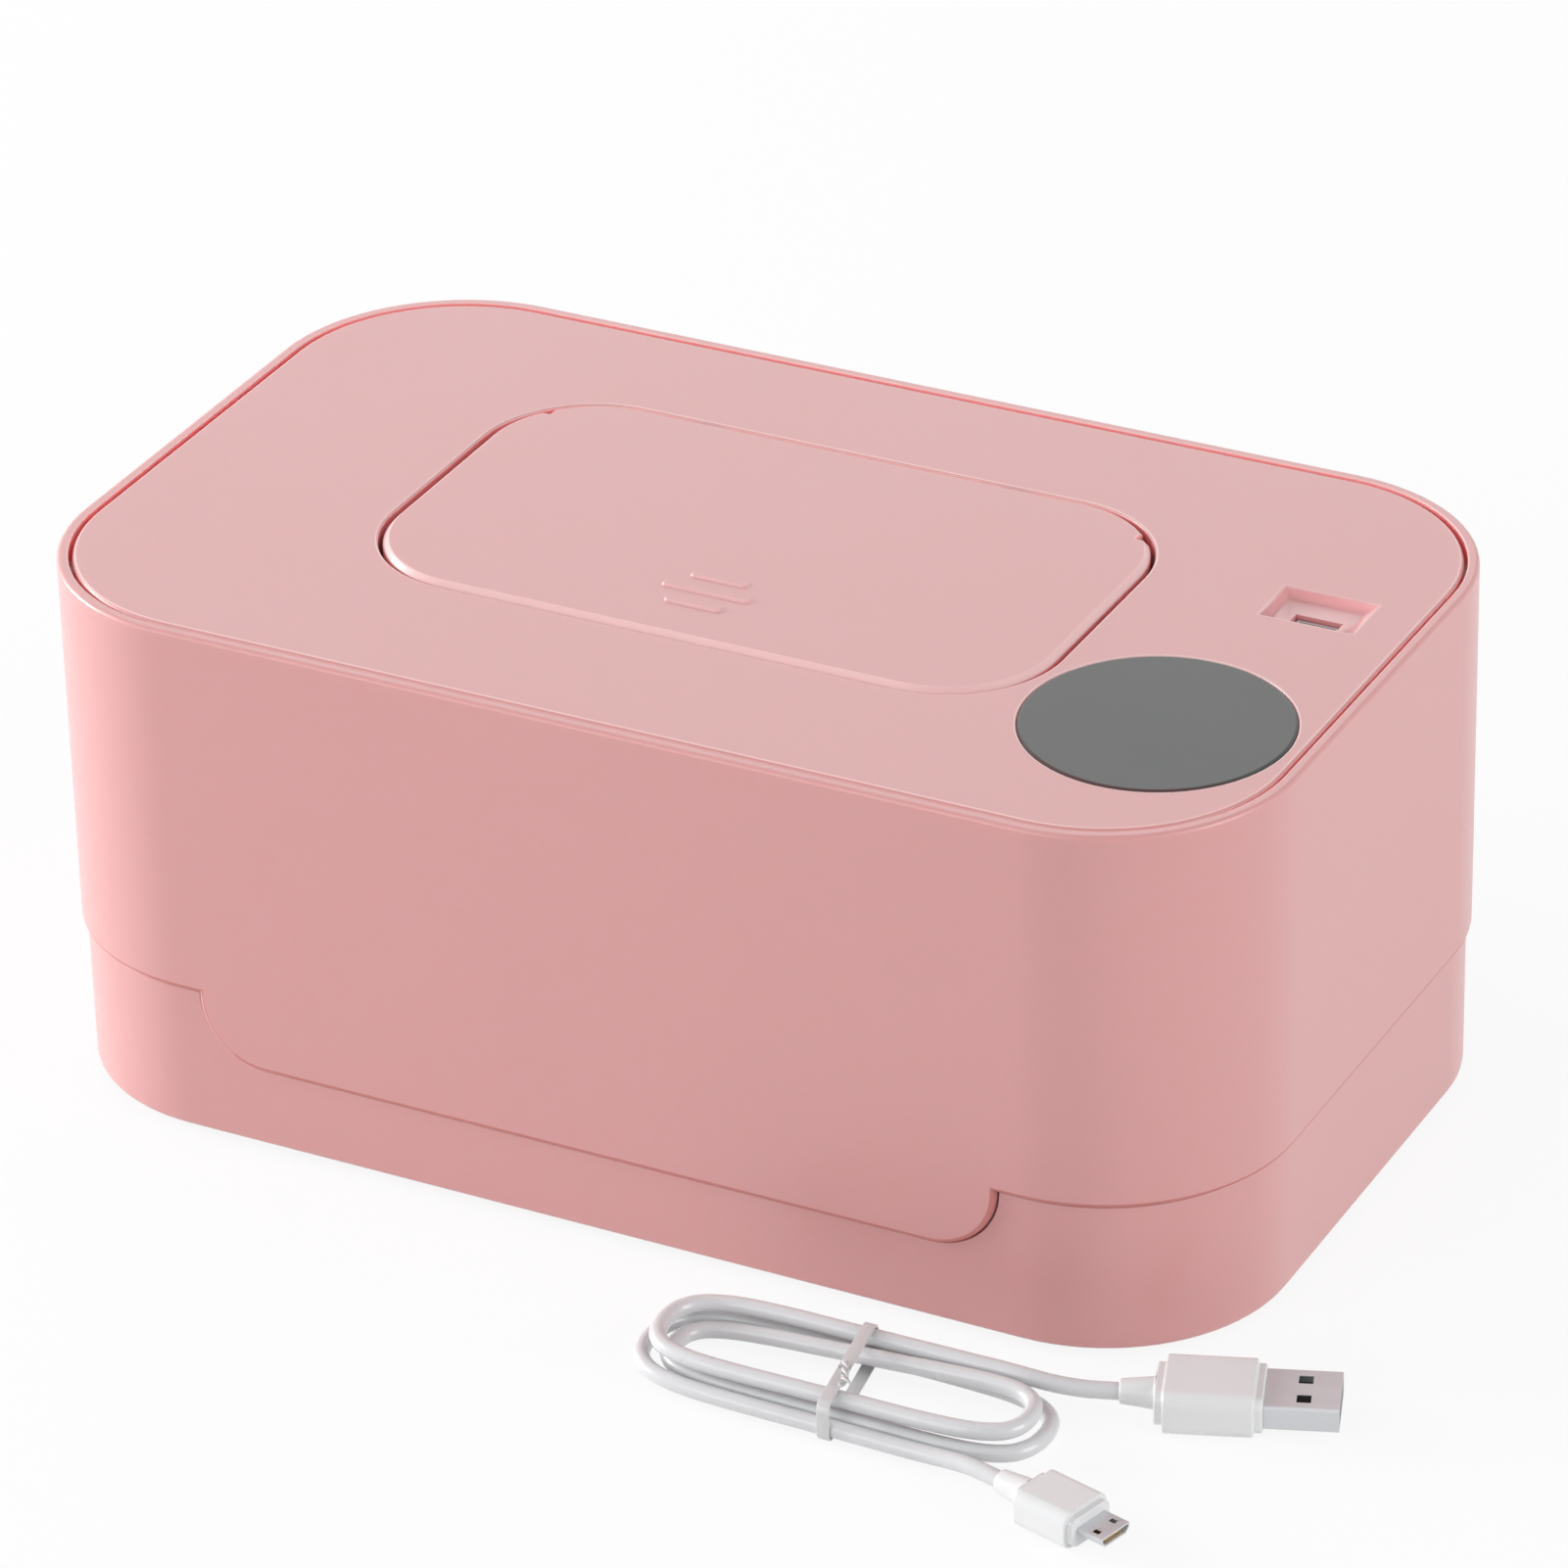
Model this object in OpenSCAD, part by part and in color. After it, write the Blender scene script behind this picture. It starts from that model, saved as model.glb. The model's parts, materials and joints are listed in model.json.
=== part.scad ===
// Baby wipe warmer: a lift-off heated head over a base with a sprung wipe platform,
// and its power lead tied in a hank. Millimetres, +Z up, origin on the table under
// the middle of the casing, +X to the display end, -Y to the front.

/* [Casing] */
// Outside length of the casing
length = 230; // [222:1:244]
// Outside width of the casing
width = 138; // [132:1:150]
// Height of the top face over the table
height = 100; // [98:1:115]
// Corner radius seen from above
corner_r = 34.3; // [31:0.1:36]
// Thickness of the casing wall, which is also the width of the rim
wall = 2; // [1.8:0.1:2.4]
// Rounding of the outer top edge
edge_r = 0.8; // [0.4:0.1:1.2]
// Height of the casing's lower edge at the ends
seam_z = 29.7; // [28.5:0.1:31]
// Height of the lower edge of the front and back skirts
skirt_z = 16.8; // [15:0.1:18]
// Distance from the casing's ends to the skirts' ends
skirt_in = 38.6; // [37:0.1:45]
// Radius of a skirt's lower corners
skirt_r = 12.5; // [8:0.5:13]

/* [Top panel] */
// Thickness of the top panel
panel_t = 3; // [2.8:0.1:3.6]
// Width of the groove between rim and panel
groove_w = 0.7; // [0.5:0.1:1]
// Bevel on the panel's edge
panel_bevel = 0.5; // [0.3:0.1:0.7]
// Width of the ledge that carries the panel
ledge_w = 3; // [2.5:0.1:3.5]
// Depth of the well under the flap, from the panel's top to its floor
well_depth = 9.5; // [9:0.1:10.5]
// Thickness of the well's walls and floor
well_wall = 1.8; // [1.5:0.1:2]

/* [Flap] */
// Length of the opening for the flap
opening_l = 128.3; // [119:0.1:132]
// Width of the opening for the flap
opening_w = 74.3; // [73.3:0.1:75.5]
// Corner radius of the opening
opening_r = 21; // [17:0.5:23]
// How far the opening's middle lies from the casing's middle, towards the display
opening_x = -1.1; // [-1.5:0.1:0]
// How far the opening's middle lies behind the casing's middle
opening_y = 2.25; // [1:0.05:3]
// Gap at the ends of the flap
flap_end_gap = 1; // [0.5:0.1:1.5]
// Gap along the front of the flap
flap_front_gap = 0.6; // [0.4:0.1:1]
// How far the flap stands above the panel
flap_rise = 0.4; // [0.2:0.1:0.5]
// How far the flap reaches behind its hinge
flap_tail = 7; // [6:0.5:7]
// Thickness of the flap's plate
flap_t = 2.4; // [2.2:0.1:2.6]
// Radius of the hinge barrel under the flap
barrel_r = 2.05; // [2:0.05:2.3]
// Radius of the hinge pin
pin_r = 0.6; // [0.5:0.05:0.65]
// Clearance of the pin in the flap's barrel
pin_clear = 0.06; // [0.03:0.01:0.1]
// How far the three grip ribs stand above the flap
grip_h = 0.4; // [0.2:0.1:0.6]
// Distance from one grip rib to the next
grip_pitch = 4.9; // [4:0.1:5.5]
// Length of the middle grip rib
grip_l = 16.6; // [12:0.1:20]

/* [Dispensing mouth] */
// Length of the mouth
mouth_l = 80; // [70:1:86]
// Width of the mouth
mouth_w = 30; // [26:0.5:34]
// How far the mouth's middle lies in front of the opening's middle
mouth_y = 4.2; // [2.5:0.1:4.5]
// Thickness of the mouth's tube
mouth_wall = 1.6; // [1.3:0.1:2]

/* [Display and socket] */
// How far the lens starts past the line of the opening's end, beside its round corner
lens_start = 0.65; // [0.3:0.05:1.5]
// Width of the strip between the lens and the panel's end
lens_strip = 2.6; // [2:0.1:6]
// Thickness of the display lens
lens_t = 1.5; // [1.2:0.1:1.7]
// Display lens centre, in front of the casing's middle
lens_y = 27.4; // [24:0.1:32]
// Length of the socket recess
recess_l = 17; // [15:0.5:19]
// Width of the socket recess
recess_w = 11; // [9:0.5:12]
// Depth of the socket recess
recess_depth = 1.8; // [1.2:0.1:2]
// Socket recess centre, from the casing's end
recess_end = 20.2; // [18:0.1:23]
// Socket recess centre, behind the casing's middle
recess_y = 20; // [18:0.5:24]

/* [Heater] */
// Distance from the casing's ends to the heating plate's ends
plate_end = 26; // [20:0.5:34]
// Distance from the casing's sides to the heating plate's sides
plate_side = 21; // [17:0.5:25]
// Corner radius of the heating plate
plate_r = 14; // [8:1:20]
// Thickness of the heating plate
plate_t = 1.2; // [0.8:0.1:1.6]
// Thickness of the insulation pad
pad_t = 2.2; // [1.6:0.1:3]
// Thickness of the inner cover's floor
inner_t = 2; // [1.6:0.1:2.4]
// Depth of the inner cover, from its rim to the underside of its floor
inner_depth = 11; // [11:0.1:12.5]

/* [Base] */
// Height of the feet under the base
foot_h = 1.2; // [0.8:0.1:2]
// Radius of the feet
foot_r = 6; // [4:0.5:8]
// Thickness of the base's floor
floor_t = 2.2; // [1.8:0.1:3]
// How far the base's wall stands in from the casing
base_inset = 0.95; // [0.6:0.05:1.3]
// Thickness of the lip that the casing slides over
lip_t = 2.1; // [1.8:0.1:2.6]
// Height of the lip above the casing's seam
lip_rise = 5.6; // [5:0.1:7]
// Clearance between parts that slide past each other
gap = 0.3; // [0.25:0.01:0.35]

/* [Wipe platform] */
// Height of the platform's top face at rest
platform_z = 40; // [38:0.5:44]
// Thickness of the platform's plate
platform_t = 2.4; // [1.8:0.1:3]
// How far the platform can be pressed down
platform_travel = 22; // [16:0.5:22]
// Thickness of the platform springs' wire
spring_wire = 1.2; // [0.9:0.1:1.4]
// Mean radius of the platform springs
spring_r = 5.4; // [5:0.1:6]
// Coils in each platform spring
spring_turns = 7; // [5:1:8]

/* [Lead] */
// Diameter of the lead
cord_d = 3; // [2.6:0.1:3.2]
// Straight part between the hank's two folds
hank_run = 45; // [40:1:60]
// Half width of the hank's inner fold
hank_in = 9.4; // [9.4:0.1:11]
// Step from one turn of the hank to the next
hank_pitch = 4.7; // [4.6:0.1:5.2]
// How far the hank is drawn in at its waist, as a share
hank_waist = 0.24; // [0.1:0.01:0.25]

/* [Hidden] */
$fn = 96;
pink = [0.875, 0.70, 0.705];
white = [0.95, 0.95, 0.94];
steel = [0.75, 0.76, 0.78];

// ---- derived heights and places -------------------------------------------------
panel_z = height - panel_t;              // underside of the panel, top of the ledge
ledge_t = 2;
ledge_z = panel_z - ledge_t;             // underside of the ledge
well_z = height - well_depth;            // top of the well's floor
inner_z = ledge_z - inner_depth;         // underside of the inner cover's floor
inner_floor_z = inner_z + inner_t;
film_t = 0.4;
film_z = inner_z - pad_t - film_t;       // underside of the film heater
plate_z = film_z - plate_t;              // underside of the heating plate
panel_inset = wall + groove_w;
skirt_half = length / 2 - skirt_in;

// flap and hinge
opening_front = opening_y - opening_w / 2;
opening_back = opening_y + opening_w / 2;
flap_z = height + flap_rise;
flap_back_gap = 0.5;
flap_back = opening_back - flap_back_gap;
axis_y = flap_back - flap_tail;
axis_z = flap_z - barrel_r;
barrel_half = opening_l / 2 - opening_r - 1;
ear_w = 5;
ear_x = barrel_half - 12;
ear_r = pin_r + 0.65;
notch_side = 0.25;                       // between an ear and the flap's barrel
notch_r = ear_r + notch_side;
spring_room = 10.5;
flap_front = opening_front + flap_front_gap;
flap_l = opening_l - 2 * flap_end_gap;
flap_w = flap_back - flap_front;
flap_y = (flap_back + flap_front) / 2;
flap_bevel = 1;
opening_bevel = 0.35;                    // on the panel, round the opening
press_room = 1.3;                        // the flap's front can be pressed down this far

// dispensing mouth
mouth_cy = opening_y - mouth_y;
tube_l = mouth_l + 2 * mouth_wall;
tube_w = mouth_w + 2 * mouth_wall;
flange_out = 4;
flange_t = 1.5;
collar_top = well_z + 2.5;
mouth_low = plate_z - 0.6;
seal_z = collar_top + press_room;        // underside of the gasket
corner_x = opening_l / 2 - opening_r;    // middle of the opening's back corners
corner_y = opening_back - opening_r;
// The flap's back corners have a small step here, over the hinge's line, or they would meet
// the panel's round corners as the flap opens
relief_y = axis_y - (height - axis_z) - 0.25;
relief_x = corner_x + sqrt(pow(opening_r, 2) - pow(axis_y + barrel_r + 0.15 - corner_y, 2));
seal_rib_in = flange_out + 0.7;          // the flap's rib passes outside the flange

// display and socket
lens_to = length / 2 - panel_inset - lens_strip;
lens_from = opening_x + opening_l / 2 + lens_start;
lens_d = lens_to - lens_from;
lens_pos = [(lens_to + lens_from) / 2, -lens_y];
lens_gap = 0.25;
lens_z = height + 0.1 - lens_t;
lens_window_r = lens_d / 2 - 5;
display_board_r = lens_window_r + 1.5;
display_board_t = 1.2;
display_board_z = panel_z - 3;
recess_x = length / 2 - recess_end;
socket_pos = [recess_x + 0.1, recess_y - 1.9];
socket_l = 7.6;
socket_w = 2.9;
slot_l = 8.7;
slot_w = 3.8;
recess_z = height - recess_depth;
socket_top = recess_z - 0.8;

// control board in the head, beside the well
board_t = 1.6;
board_stand = 2.2;
board_z = inner_floor_z + board_stand;
board_from = opening_x + opening_l / 2 + well_wall + 3.9;
board_to = length / 2 - 10.2;
board_l = board_to - board_from;
board_side = 28;                         // from the casing's sides to the board's edges
board_w = width - 2 * board_side;
board_x = (board_to + board_from) / 2;
board_holes = [for (sy = [-1, 1]) [length / 2 - plate_end - 2.2, sy * (board_w / 2 - 4)]];

// inner cover
inner_gap = 0.4;
inner_wall = 1.8;
boss_r = 3.2;
screw_r = 1.4;
screw_head_r = 2.6;
screw_head_h = 1.3;
screw_l = 8;
short_screw_l = 6;
plate_l = length - 2 * plate_end;
plate_w = width - 2 * plate_side;
panel_boss = [for (sx = [-1, 1], sy = [-1, 1])
    [sx * (opening_l / 2 - 6), sy * (plate_w / 2 + 4)]];
heater_boss = [for (sx = [-1, 1], sy = [-1, 1])
    [sx * (plate_l / 2 - 10), sy * (plate_w / 2 - 10)]];

// base and platform
floor_z = foot_h + floor_t;
base_wall_z = seam_z - gap;
lip_inset = wall + gap;
lip_z = seam_z + lip_rise;
base_in = lip_inset + lip_t;             // inner face of the base's wall
rail_depth = 3;
rail_t = 2;
rail_inset = base_in + rail_depth;
platform_inset = rail_inset + 0.4;
platform_under = platform_z - platform_t;
skirt_low = floor_z + platform_travel + 0.6;   // the skirt stops just over the floor
base_foot_r = 1.4;                       // rounding of the base's bottom edge
bridge_t = 2;
bridge_z = lip_z - bridge_t;
lug_w = 7.4;
lug_h = 4.7;
lug_top = bridge_z - gap;
rail_x = length / 2 - corner_r - 24;
spring_pos = [for (sx = [-1, 1], sy = [-1, 1])
    [sx * (length / 2 - corner_r - 8), sy * (width / 2 - corner_r)]];
spigot_r = spring_r - spring_wire / 2 - 0.5;
spigot_h = 5;
cup_r = spring_r + spring_wire / 2 + 0.5;
foot_pos = [for (sx = [-1, 1], sy = [-1, 1])
    [sx * (length / 2 - corner_r), sy * (width / 2 - corner_r * 0.75)]];

// ---- 2D and sweeping helpers ----------------------------------------------------
// Points of an arc round c, from angle a to angle b
function arc(c, r, a, b, n = 5) =
    [for (i = [0:n]) let (t = a + (b - a) * i / n) [c[0] + r * cos(t), c[1] + r * sin(t)]];

// Rectangle with true round corners
module rounded(l, w, r) {
    square([l - 2 * r, w], center = true);
    square([l, w - 2 * r], center = true);
    for (sx = [-1, 1], sy = [-1, 1])
        translate([sx * (l / 2 - r), sy * (w / 2 - r)]) circle(r);
}

// Sweeps a section round a rounded rectangle. A section point is
// [distance in from the outline, height].
module swept(l, w, r, section) {
    for (q = [[1, 1, 0], [-1, 1, 90], [-1, -1, 180], [1, -1, 270]])
        translate([q[0] * (l / 2 - r), q[1] * (w / 2 - r), 0]) rotate(q[2])
            rotate_extrude(angle = 90) polygon([for (p = section) [r - p[0], p[1]]]);
    if (l > 2 * r) for (s = [0, 1]) mirror([0, s, 0])
        translate([-l / 2 + r, 0, 0]) rotate([90, 0, 90])
            linear_extrude(l - 2 * r) polygon([for (p = section) [w / 2 - p[0], p[1]]]);
    if (w > 2 * r) for (s = [0, 1]) mirror([s, 0, 0])
        translate([0, w / 2 - r, 0]) rotate([90, 0, 0])
            linear_extrude(w - 2 * r) polygon([for (p = section) [l / 2 - p[0], p[1]]]);
}

// Flat plate with round corners from height z up
module plate(l, w, r, z, t) {
    translate([0, 0, z]) linear_extrude(t) rounded(l, w, r);
}

// A cylinder along X
module rod_x(r, half, y, z) {
    translate([-half, y, z]) rotate([0, 90, 0]) cylinder(r = r, h = 2 * half);
}

// A box from its middle in X and Y, and its lowest height
module block(c, size, z) {
    translate([c[0] - size[0] / 2, c[1] - size[1] / 2, z]) cube([size[0], size[1], size[2]]);
}

// Unit vector
function unit(v) = v / norm(v);

// One unbroken tube along a path, square to first and last at its ends
module tube(path, d, sides, first, last) {
    n = len(path);
    dir = [for (i = [0:n - 1]) i == 0 ? unit(first) : i == n - 1 ? unit(last)
        : unit(path[i + 1] - path[i - 1])];
    side = [for (t = dir) unit(cross(t, [0, 0, 1]))];
    tube_skin([for (i = [0:n - 1], k = [0:sides - 1]) let (a = 360 * (k + 0.5) / sides)
        path[i] + d / 2 * (cos(a) * side[i] + sin(a) * cross(side[i], dir[i]))], n, sides);
}

// Closes n rings of points, each with as many sides, into one solid
module tube_skin(pts, n, sides) {
    walls = [for (i = [0:n - 2], k = [0:sides - 1])
        let (a = i * sides + k, b = i * sides + (k + 1) % sides)
        each [[a, b, a + sides], [b, b + sides, a + sides]]];
    caps = [for (k = [1:sides - 2])
        each [[0, k + 1, k], [(n - 1) * sides, (n - 1) * sides + k, (n - 1) * sides + k + 1]]];
    polyhedron(points = pts, faces = concat(walls, caps));
}

// Least distance between two stretches of one tube that are over `skip` points apart
function least_gap(p, d, skip) = min([for (i = [0:len(p) - 1]) for (j = [i + skip:1:len(p) - 1])
    norm(p[i] - p[j])]) - d;

// Length of a path
function path_length(p) = let (s = [for (i = [1:len(p) - 1]) norm(p[i] - p[i - 1])])
    s * [for (x = s) 1];

// ---- base -----------------------------------------------------------------------
// Everything behind the skirts' outline on both long sides, grown by g
module skirt_cut(g) {
    low = skirt_z - g;
    r = skirt_r + g;
    half = skirt_half + g;
    rotate([90, 0, 0]) translate([0, 0, -width]) linear_extrude(2 * width) {
        translate([-half, low + r]) square([2 * half, seam_z + 20 - low - r]);
        translate([-half + r, low]) square([2 * (half - r), r]);
        for (sx = [-1, 1]) translate([sx * (half - r), low + r]) circle(r);
    }
}

module base_shell() color(pink) {
    wall_section = concat([[base_in, foot_h]],
        arc([base_inset + base_foot_r, foot_h + base_foot_r], base_foot_r, 270, 180, 4),
        [[base_inset, base_wall_z], [lip_inset, base_wall_z], [lip_inset, lip_z - 0.8],
        [lip_inset + 0.6, lip_z], [base_in, lip_z]]);
    difference() {
        union() {
            swept(length, width, corner_r, wall_section);
            plate(length - 2 * base_in + 1, width - 2 * base_in + 1, corner_r - base_in + 0.5,
                foot_h, floor_t);
        }
        // the skirts hang in two pockets, with the lip behind them
        intersection() {
            skirt_cut(gap);
            for (s = [0, 1]) mirror([0, s, 0])
                translate([-length / 2, width / 2 - lip_inset, skirt_z - gap])
                    cube([length, lip_inset + 1, height]);
        }
        for (p = foot_pos) translate([p[0], p[1], foot_h - 1])
            cylinder(r = foot_r - 1, h = 1 + floor_t / 2);
    }
    // rails that guide the platform's lugs, closed by a bridge at the top
    for (sx = [-1, 1], s = [0, 1]) mirror([0, s, 0]) translate([sx * rail_x, 0, 0]) {
        for (e = [-1, 1])
            translate([e * (lug_w / 2 + gap + rail_t / 2) - rail_t / 2,
                width / 2 - rail_inset, floor_z - 0.2])
                cube([rail_t, rail_depth + 0.2, lip_z - floor_z + 0.2]);
        translate([-lug_w / 2 - gap - rail_t / 2, width / 2 - rail_inset, bridge_z])
            cube([lug_w + 2 * gap + rail_t, rail_depth + 0.2, bridge_t]);
    }
    for (p = spring_pos) translate([p[0], p[1], floor_z - 0.2]) {
        cylinder(r = spigot_r, h = spigot_h + 0.2);
        difference() {
            cylinder(r = cup_r + 1.2, h = 2.2);
            translate([0, 0, 0.2]) cylinder(r = cup_r, h = 3);
        }
    }
}

module base_feet() color([0.85, 0.83, 0.82]) for (p = foot_pos) translate([p[0], p[1], 0]) {
    cylinder(r1 = foot_r - 0.4, r2 = foot_r, h = foot_h);
    cylinder(r = foot_r - 1, h = foot_h + floor_t / 2 - 0.05);
}

// ---- wipe platform --------------------------------------------------------------
module wipe_platform() color(white) {
    l = length - 2 * platform_inset;
    w = width - 2 * platform_inset;
    r = corner_r - platform_inset;
    section = [[0, skirt_low], [0, platform_z - 0.8], [0.8, platform_z], [3, platform_z],
        [3, platform_under], [1.6, platform_under - 1], [1.6, skirt_low]];
    swept(l, w, r, section);
    difference() {
        plate(l - 4, w - 4, r - 2, platform_under, platform_t);
        for (ix = [-2:2], iy = [-1, 1]) translate([ix * l / 6, iy * w / 5, platform_under - 1])
            linear_extrude(platform_t + 2) rounded(l / 9, 5, 2.45);
    }
    // ribs that keep the pack clear of the plate
    for (iy = [-1:1]) translate([0, iy * w / 10, platform_under - 2])
        linear_extrude(platform_t + 2) rounded(l * 0.7, 2, 0.9);
    for (p = spring_pos) translate([p[0], p[1], platform_under - 4]) difference() {
        cylinder(r = cup_r + 1.2, h = 4.2);
        translate([0, 0, -1]) cylinder(r = cup_r, h = 5);
    }
    for (sx = [-1, 1], s = [0, 1]) mirror([0, s, 0])
        translate([sx * rail_x - lug_w / 2, width / 2 - platform_inset - 0.8, lug_top - lug_h])
            cube([lug_w, platform_inset - base_in - gap + 0.8, lug_h]);
}

module lift_springs() color(steel) for (p = spring_pos) {
    low = floor_z + spring_wire / 2 + gap / 2;
    rise = platform_under - floor_z - spring_wire - gap;
    steps = 8 * spring_turns;
    path = [for (i = [0:steps]) let (a = 45 * i)
        [p[0] + spring_r * cos(a), p[1] + spring_r * sin(a), low + rise * i / steps]];
    tube(path, spring_wire, 6, [0, 1, 0], unit(path[steps] - path[steps - 1]));
}

// ---- casing ---------------------------------------------------------------------
module cover_casing() color(pink) {
    section = concat([[wall, skirt_z], [0, skirt_z], [0, height - edge_r]],
        arc([edge_r, height - edge_r], edge_r, 180, 90, 4),
        [[wall, height], [wall, panel_z], [wall + ledge_w, panel_z],
        [wall + ledge_w, ledge_z], [wall, ledge_z]]);
    difference() {
        swept(length, width, corner_r, section);
        difference() {
            translate([-length, -width, 0]) cube([2 * length, 2 * width, seam_z]);
            skirt_cut(0);
        }
    }
}

// ---- top panel ------------------------------------------------------------------
// The recess widens towards its mouth, most at the display end
module recess_shape() hull() {
    block([recess_x, recess_y], [recess_l, recess_w, 0.1], height);
    block([recess_x - 0.6, recess_y + 0.1], [recess_l - 3.4, recess_w - 2.6, 0.1], recess_z);
}

module top_panel() color(pink) {
    l = length - 2 * panel_inset;
    w = width - 2 * panel_inset;
    r = corner_r - panel_inset;
    b = panel_bevel;
    difference() {
        union() {
            plate(l - 2 * b, w - 2 * b, r - b, panel_z, panel_t);
            swept(l, w, r, [[0, panel_z], [0, height - b], [b, height], [2, height],
                [2, panel_z]]);
            translate([opening_x, opening_y, 0]) plate(opening_l + 2 * well_wall,
                opening_w + 2 * well_wall, opening_r + well_wall, well_z - well_wall,
                well_depth + well_wall - panel_t / 2);
        }
        translate([opening_x, opening_y, 0]) plate(opening_l, opening_w, opening_r, well_z, 20);
        // soft edge round the opening
        translate([opening_x, opening_y, 0]) swept(opening_l, opening_w, opening_r,
            [[0.1, height + 0.1], [-opening_bevel - 0.1, height + 0.1],
                [0.1, height - opening_bevel - 0.1]]);
        translate([opening_x, mouth_cy, 0]) plate(tube_l + 2 * gap, tube_w + 2 * gap,
            tube_w / 2 + gap - 0.01, well_z - 5, 20);
        translate([lens_pos[0], lens_pos[1], lens_z]) cylinder(r = lens_d / 2 + lens_gap, h = 5);
        translate([lens_pos[0], lens_pos[1], panel_z - 1]) cylinder(r = lens_window_r, h = 6);
        recess_shape();
        block(socket_pos, [slot_l, slot_w, 6], panel_z - 1);
    }
    // ears that carry the hinge pin
    for (sx = [-1, 1]) difference() {
        union() {
            translate([opening_x + sx * ear_x - ear_w / 2, axis_y, axis_z]) rotate([0, 90, 0])
                cylinder(r = ear_r, h = ear_w);
            block([opening_x + sx * ear_x, axis_y],
                [ear_w, 2 * ear_r, axis_z - well_z + 0.2], well_z - 0.2);
        }
        rod_x(pin_r + 0.02, length / 2, axis_y, axis_z);
    }
    // bosses for the screws that hold the inner cover
    for (p = panel_boss) translate([p[0], p[1], inner_floor_z]) difference() {
        cylinder(r = boss_r, h = panel_z - inner_floor_z + 0.2);
        translate([0, 0, -1]) cylinder(r = screw_r, h = panel_z - inner_floor_z - 1);
    }
    // posts for the display board
    for (a = [30, 150, 270]) translate([lens_pos[0] + (display_board_r - 1.4) * cos(a),
        lens_pos[1] + (display_board_r - 1.4) * sin(a), display_board_z + display_board_t])
        cylinder(r = 1.3, h = panel_z - display_board_z - display_board_t + 0.2);
}

// ---- display and electronics ----------------------------------------------------
module display_lens() color([0.46, 0.47, 0.46])
    translate([lens_pos[0], lens_pos[1], lens_z]) {
        cylinder(r = lens_d / 2, h = lens_t - 0.3);
        translate([0, 0, lens_t - 0.3]) cylinder(r1 = lens_d / 2, r2 = lens_d / 2 - 0.3, h = 0.3);
    }

module display_module() color([0.93, 0.93, 0.9]) {
    translate([lens_pos[0], lens_pos[1], display_board_z])
        cylinder(r = display_board_r, h = display_board_t);
    block(lens_pos, [lens_window_r * 1.33, lens_window_r * 0.72, lens_z - 0.2 - display_board_z],
        display_board_z);
    // the touch key's spring stands on the board as a short post
    translate([lens_pos[0], lens_pos[1] - lens_window_r * 0.61, display_board_z])
        cylinder(r = 2.5, h = lens_z - 0.1 - display_board_z);
    // header down to the control board
    block([lens_pos[0] - 2, lens_pos[1] + lens_window_r * 0.78],
        [lens_window_r * 0.67, 2.5, display_board_z - board_z - board_t + 0.2], board_z + board_t);
}

module control_board() color([0.15, 0.35, 0.22]) difference() {
    block([board_x, 0], [board_l, board_w, board_t], board_z);
    for (p = board_holes) translate([p[0], p[1], board_z - 1])
        cylinder(r = screw_r + 0.2, h = board_t + 2);
}

module board_parts() color([0.16, 0.16, 0.17]) {
    top = board_z + board_t;
    chip = board_w / 11.5;
    // [place along the board, place across it, size] of the chip, relay and header
    for (p = [[-0.22, 0.1, [chip, chip, board_t * 0.75]], [-0.25, 0.29, [chip, chip * 0.7, 3]],
        [0.25, 0.39, [chip * 0.8, chip * 0.5, 2.4]]])
        block([board_x + p[0] * board_l, p[1] * board_w], p[2], top);
    for (sy = [-1, 1]) translate([board_x - board_l / 3, sy * board_w * 0.41, top])
        cylinder(r = chip * 0.3, h = chip * 0.48);
    for (i = [0:5]) block([board_x - board_l * 0.39, (i / 16 - 0.34) * board_w],
        [chip * 0.22, chip * 0.36, chip / 10], top);
}

module usb_socket() color(steel) {
    top = board_z + board_t;
    difference() {
        block(socket_pos, [socket_l, socket_w, socket_top - top], top);
        block(socket_pos, [socket_l - 0.8, socket_w - 0.8, 6], socket_top - 5.4);
    }
    block([socket_pos[0], socket_pos[1] - 0.35], [3.7, 0.6, 4.7], socket_top - 5.6);
    for (sx = [-1, 1]) block([socket_pos[0] + sx * (socket_l / 2 + 0.9), socket_pos[1]],
        [2, 2.4, 0.5], top);
}

// The fuse and the sensor lie on the film heater, in windows of the insulation pad
fuse_pos = [-plate_l / 2 + 16, 0];
sensor_pos = [-plate_l / 2 + 16, 16];
fuse_r = pad_t / 2 - 0.1;
fuse_l = 11;
sensor_r = 1.8;
film_in = 4;                             // from the heating plate's edge to the film's

module thermal_fuse() color([0.8, 0.78, 0.7])
    translate([fuse_pos[0] - fuse_l / 2, fuse_pos[1], film_z + film_t + fuse_r])
        rotate([0, 90, 0]) cylinder(r = fuse_r, h = fuse_l);

module temperature_sensor() color([0.2, 0.2, 0.2])
    translate([sensor_pos[0], sensor_pos[1], film_z + film_t]) {
        cylinder(r = sensor_r, h = pad_t - 0.7);
        translate([0, 0, pad_t - 0.7]) cylinder(r1 = sensor_r, r2 = sensor_r - 0.6, h = 0.4);
    }

// Two wires from the film heater, up past the board's front edge and onto it
wire_r = 0.7;
wire_pos = [for (s = [0, 1]) [plate_l / 2 - 16.7 - 3 * s, -board_w / 2 - 1.3]];

module heater_wires() color([0.75, 0.2, 0.18]) for (p = wire_pos) {
    turn_z = board_z + board_t + wire_r + 0.05;
    translate([p[0], p[1], film_z + film_t]) cylinder(r = wire_r, h = turn_z - film_z - film_t);
    translate([p[0], p[1], turn_z]) {
        sphere(wire_r);
        rotate([-90, 0, 0]) cylinder(r = wire_r, h = 3.8);
    }
}

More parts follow.
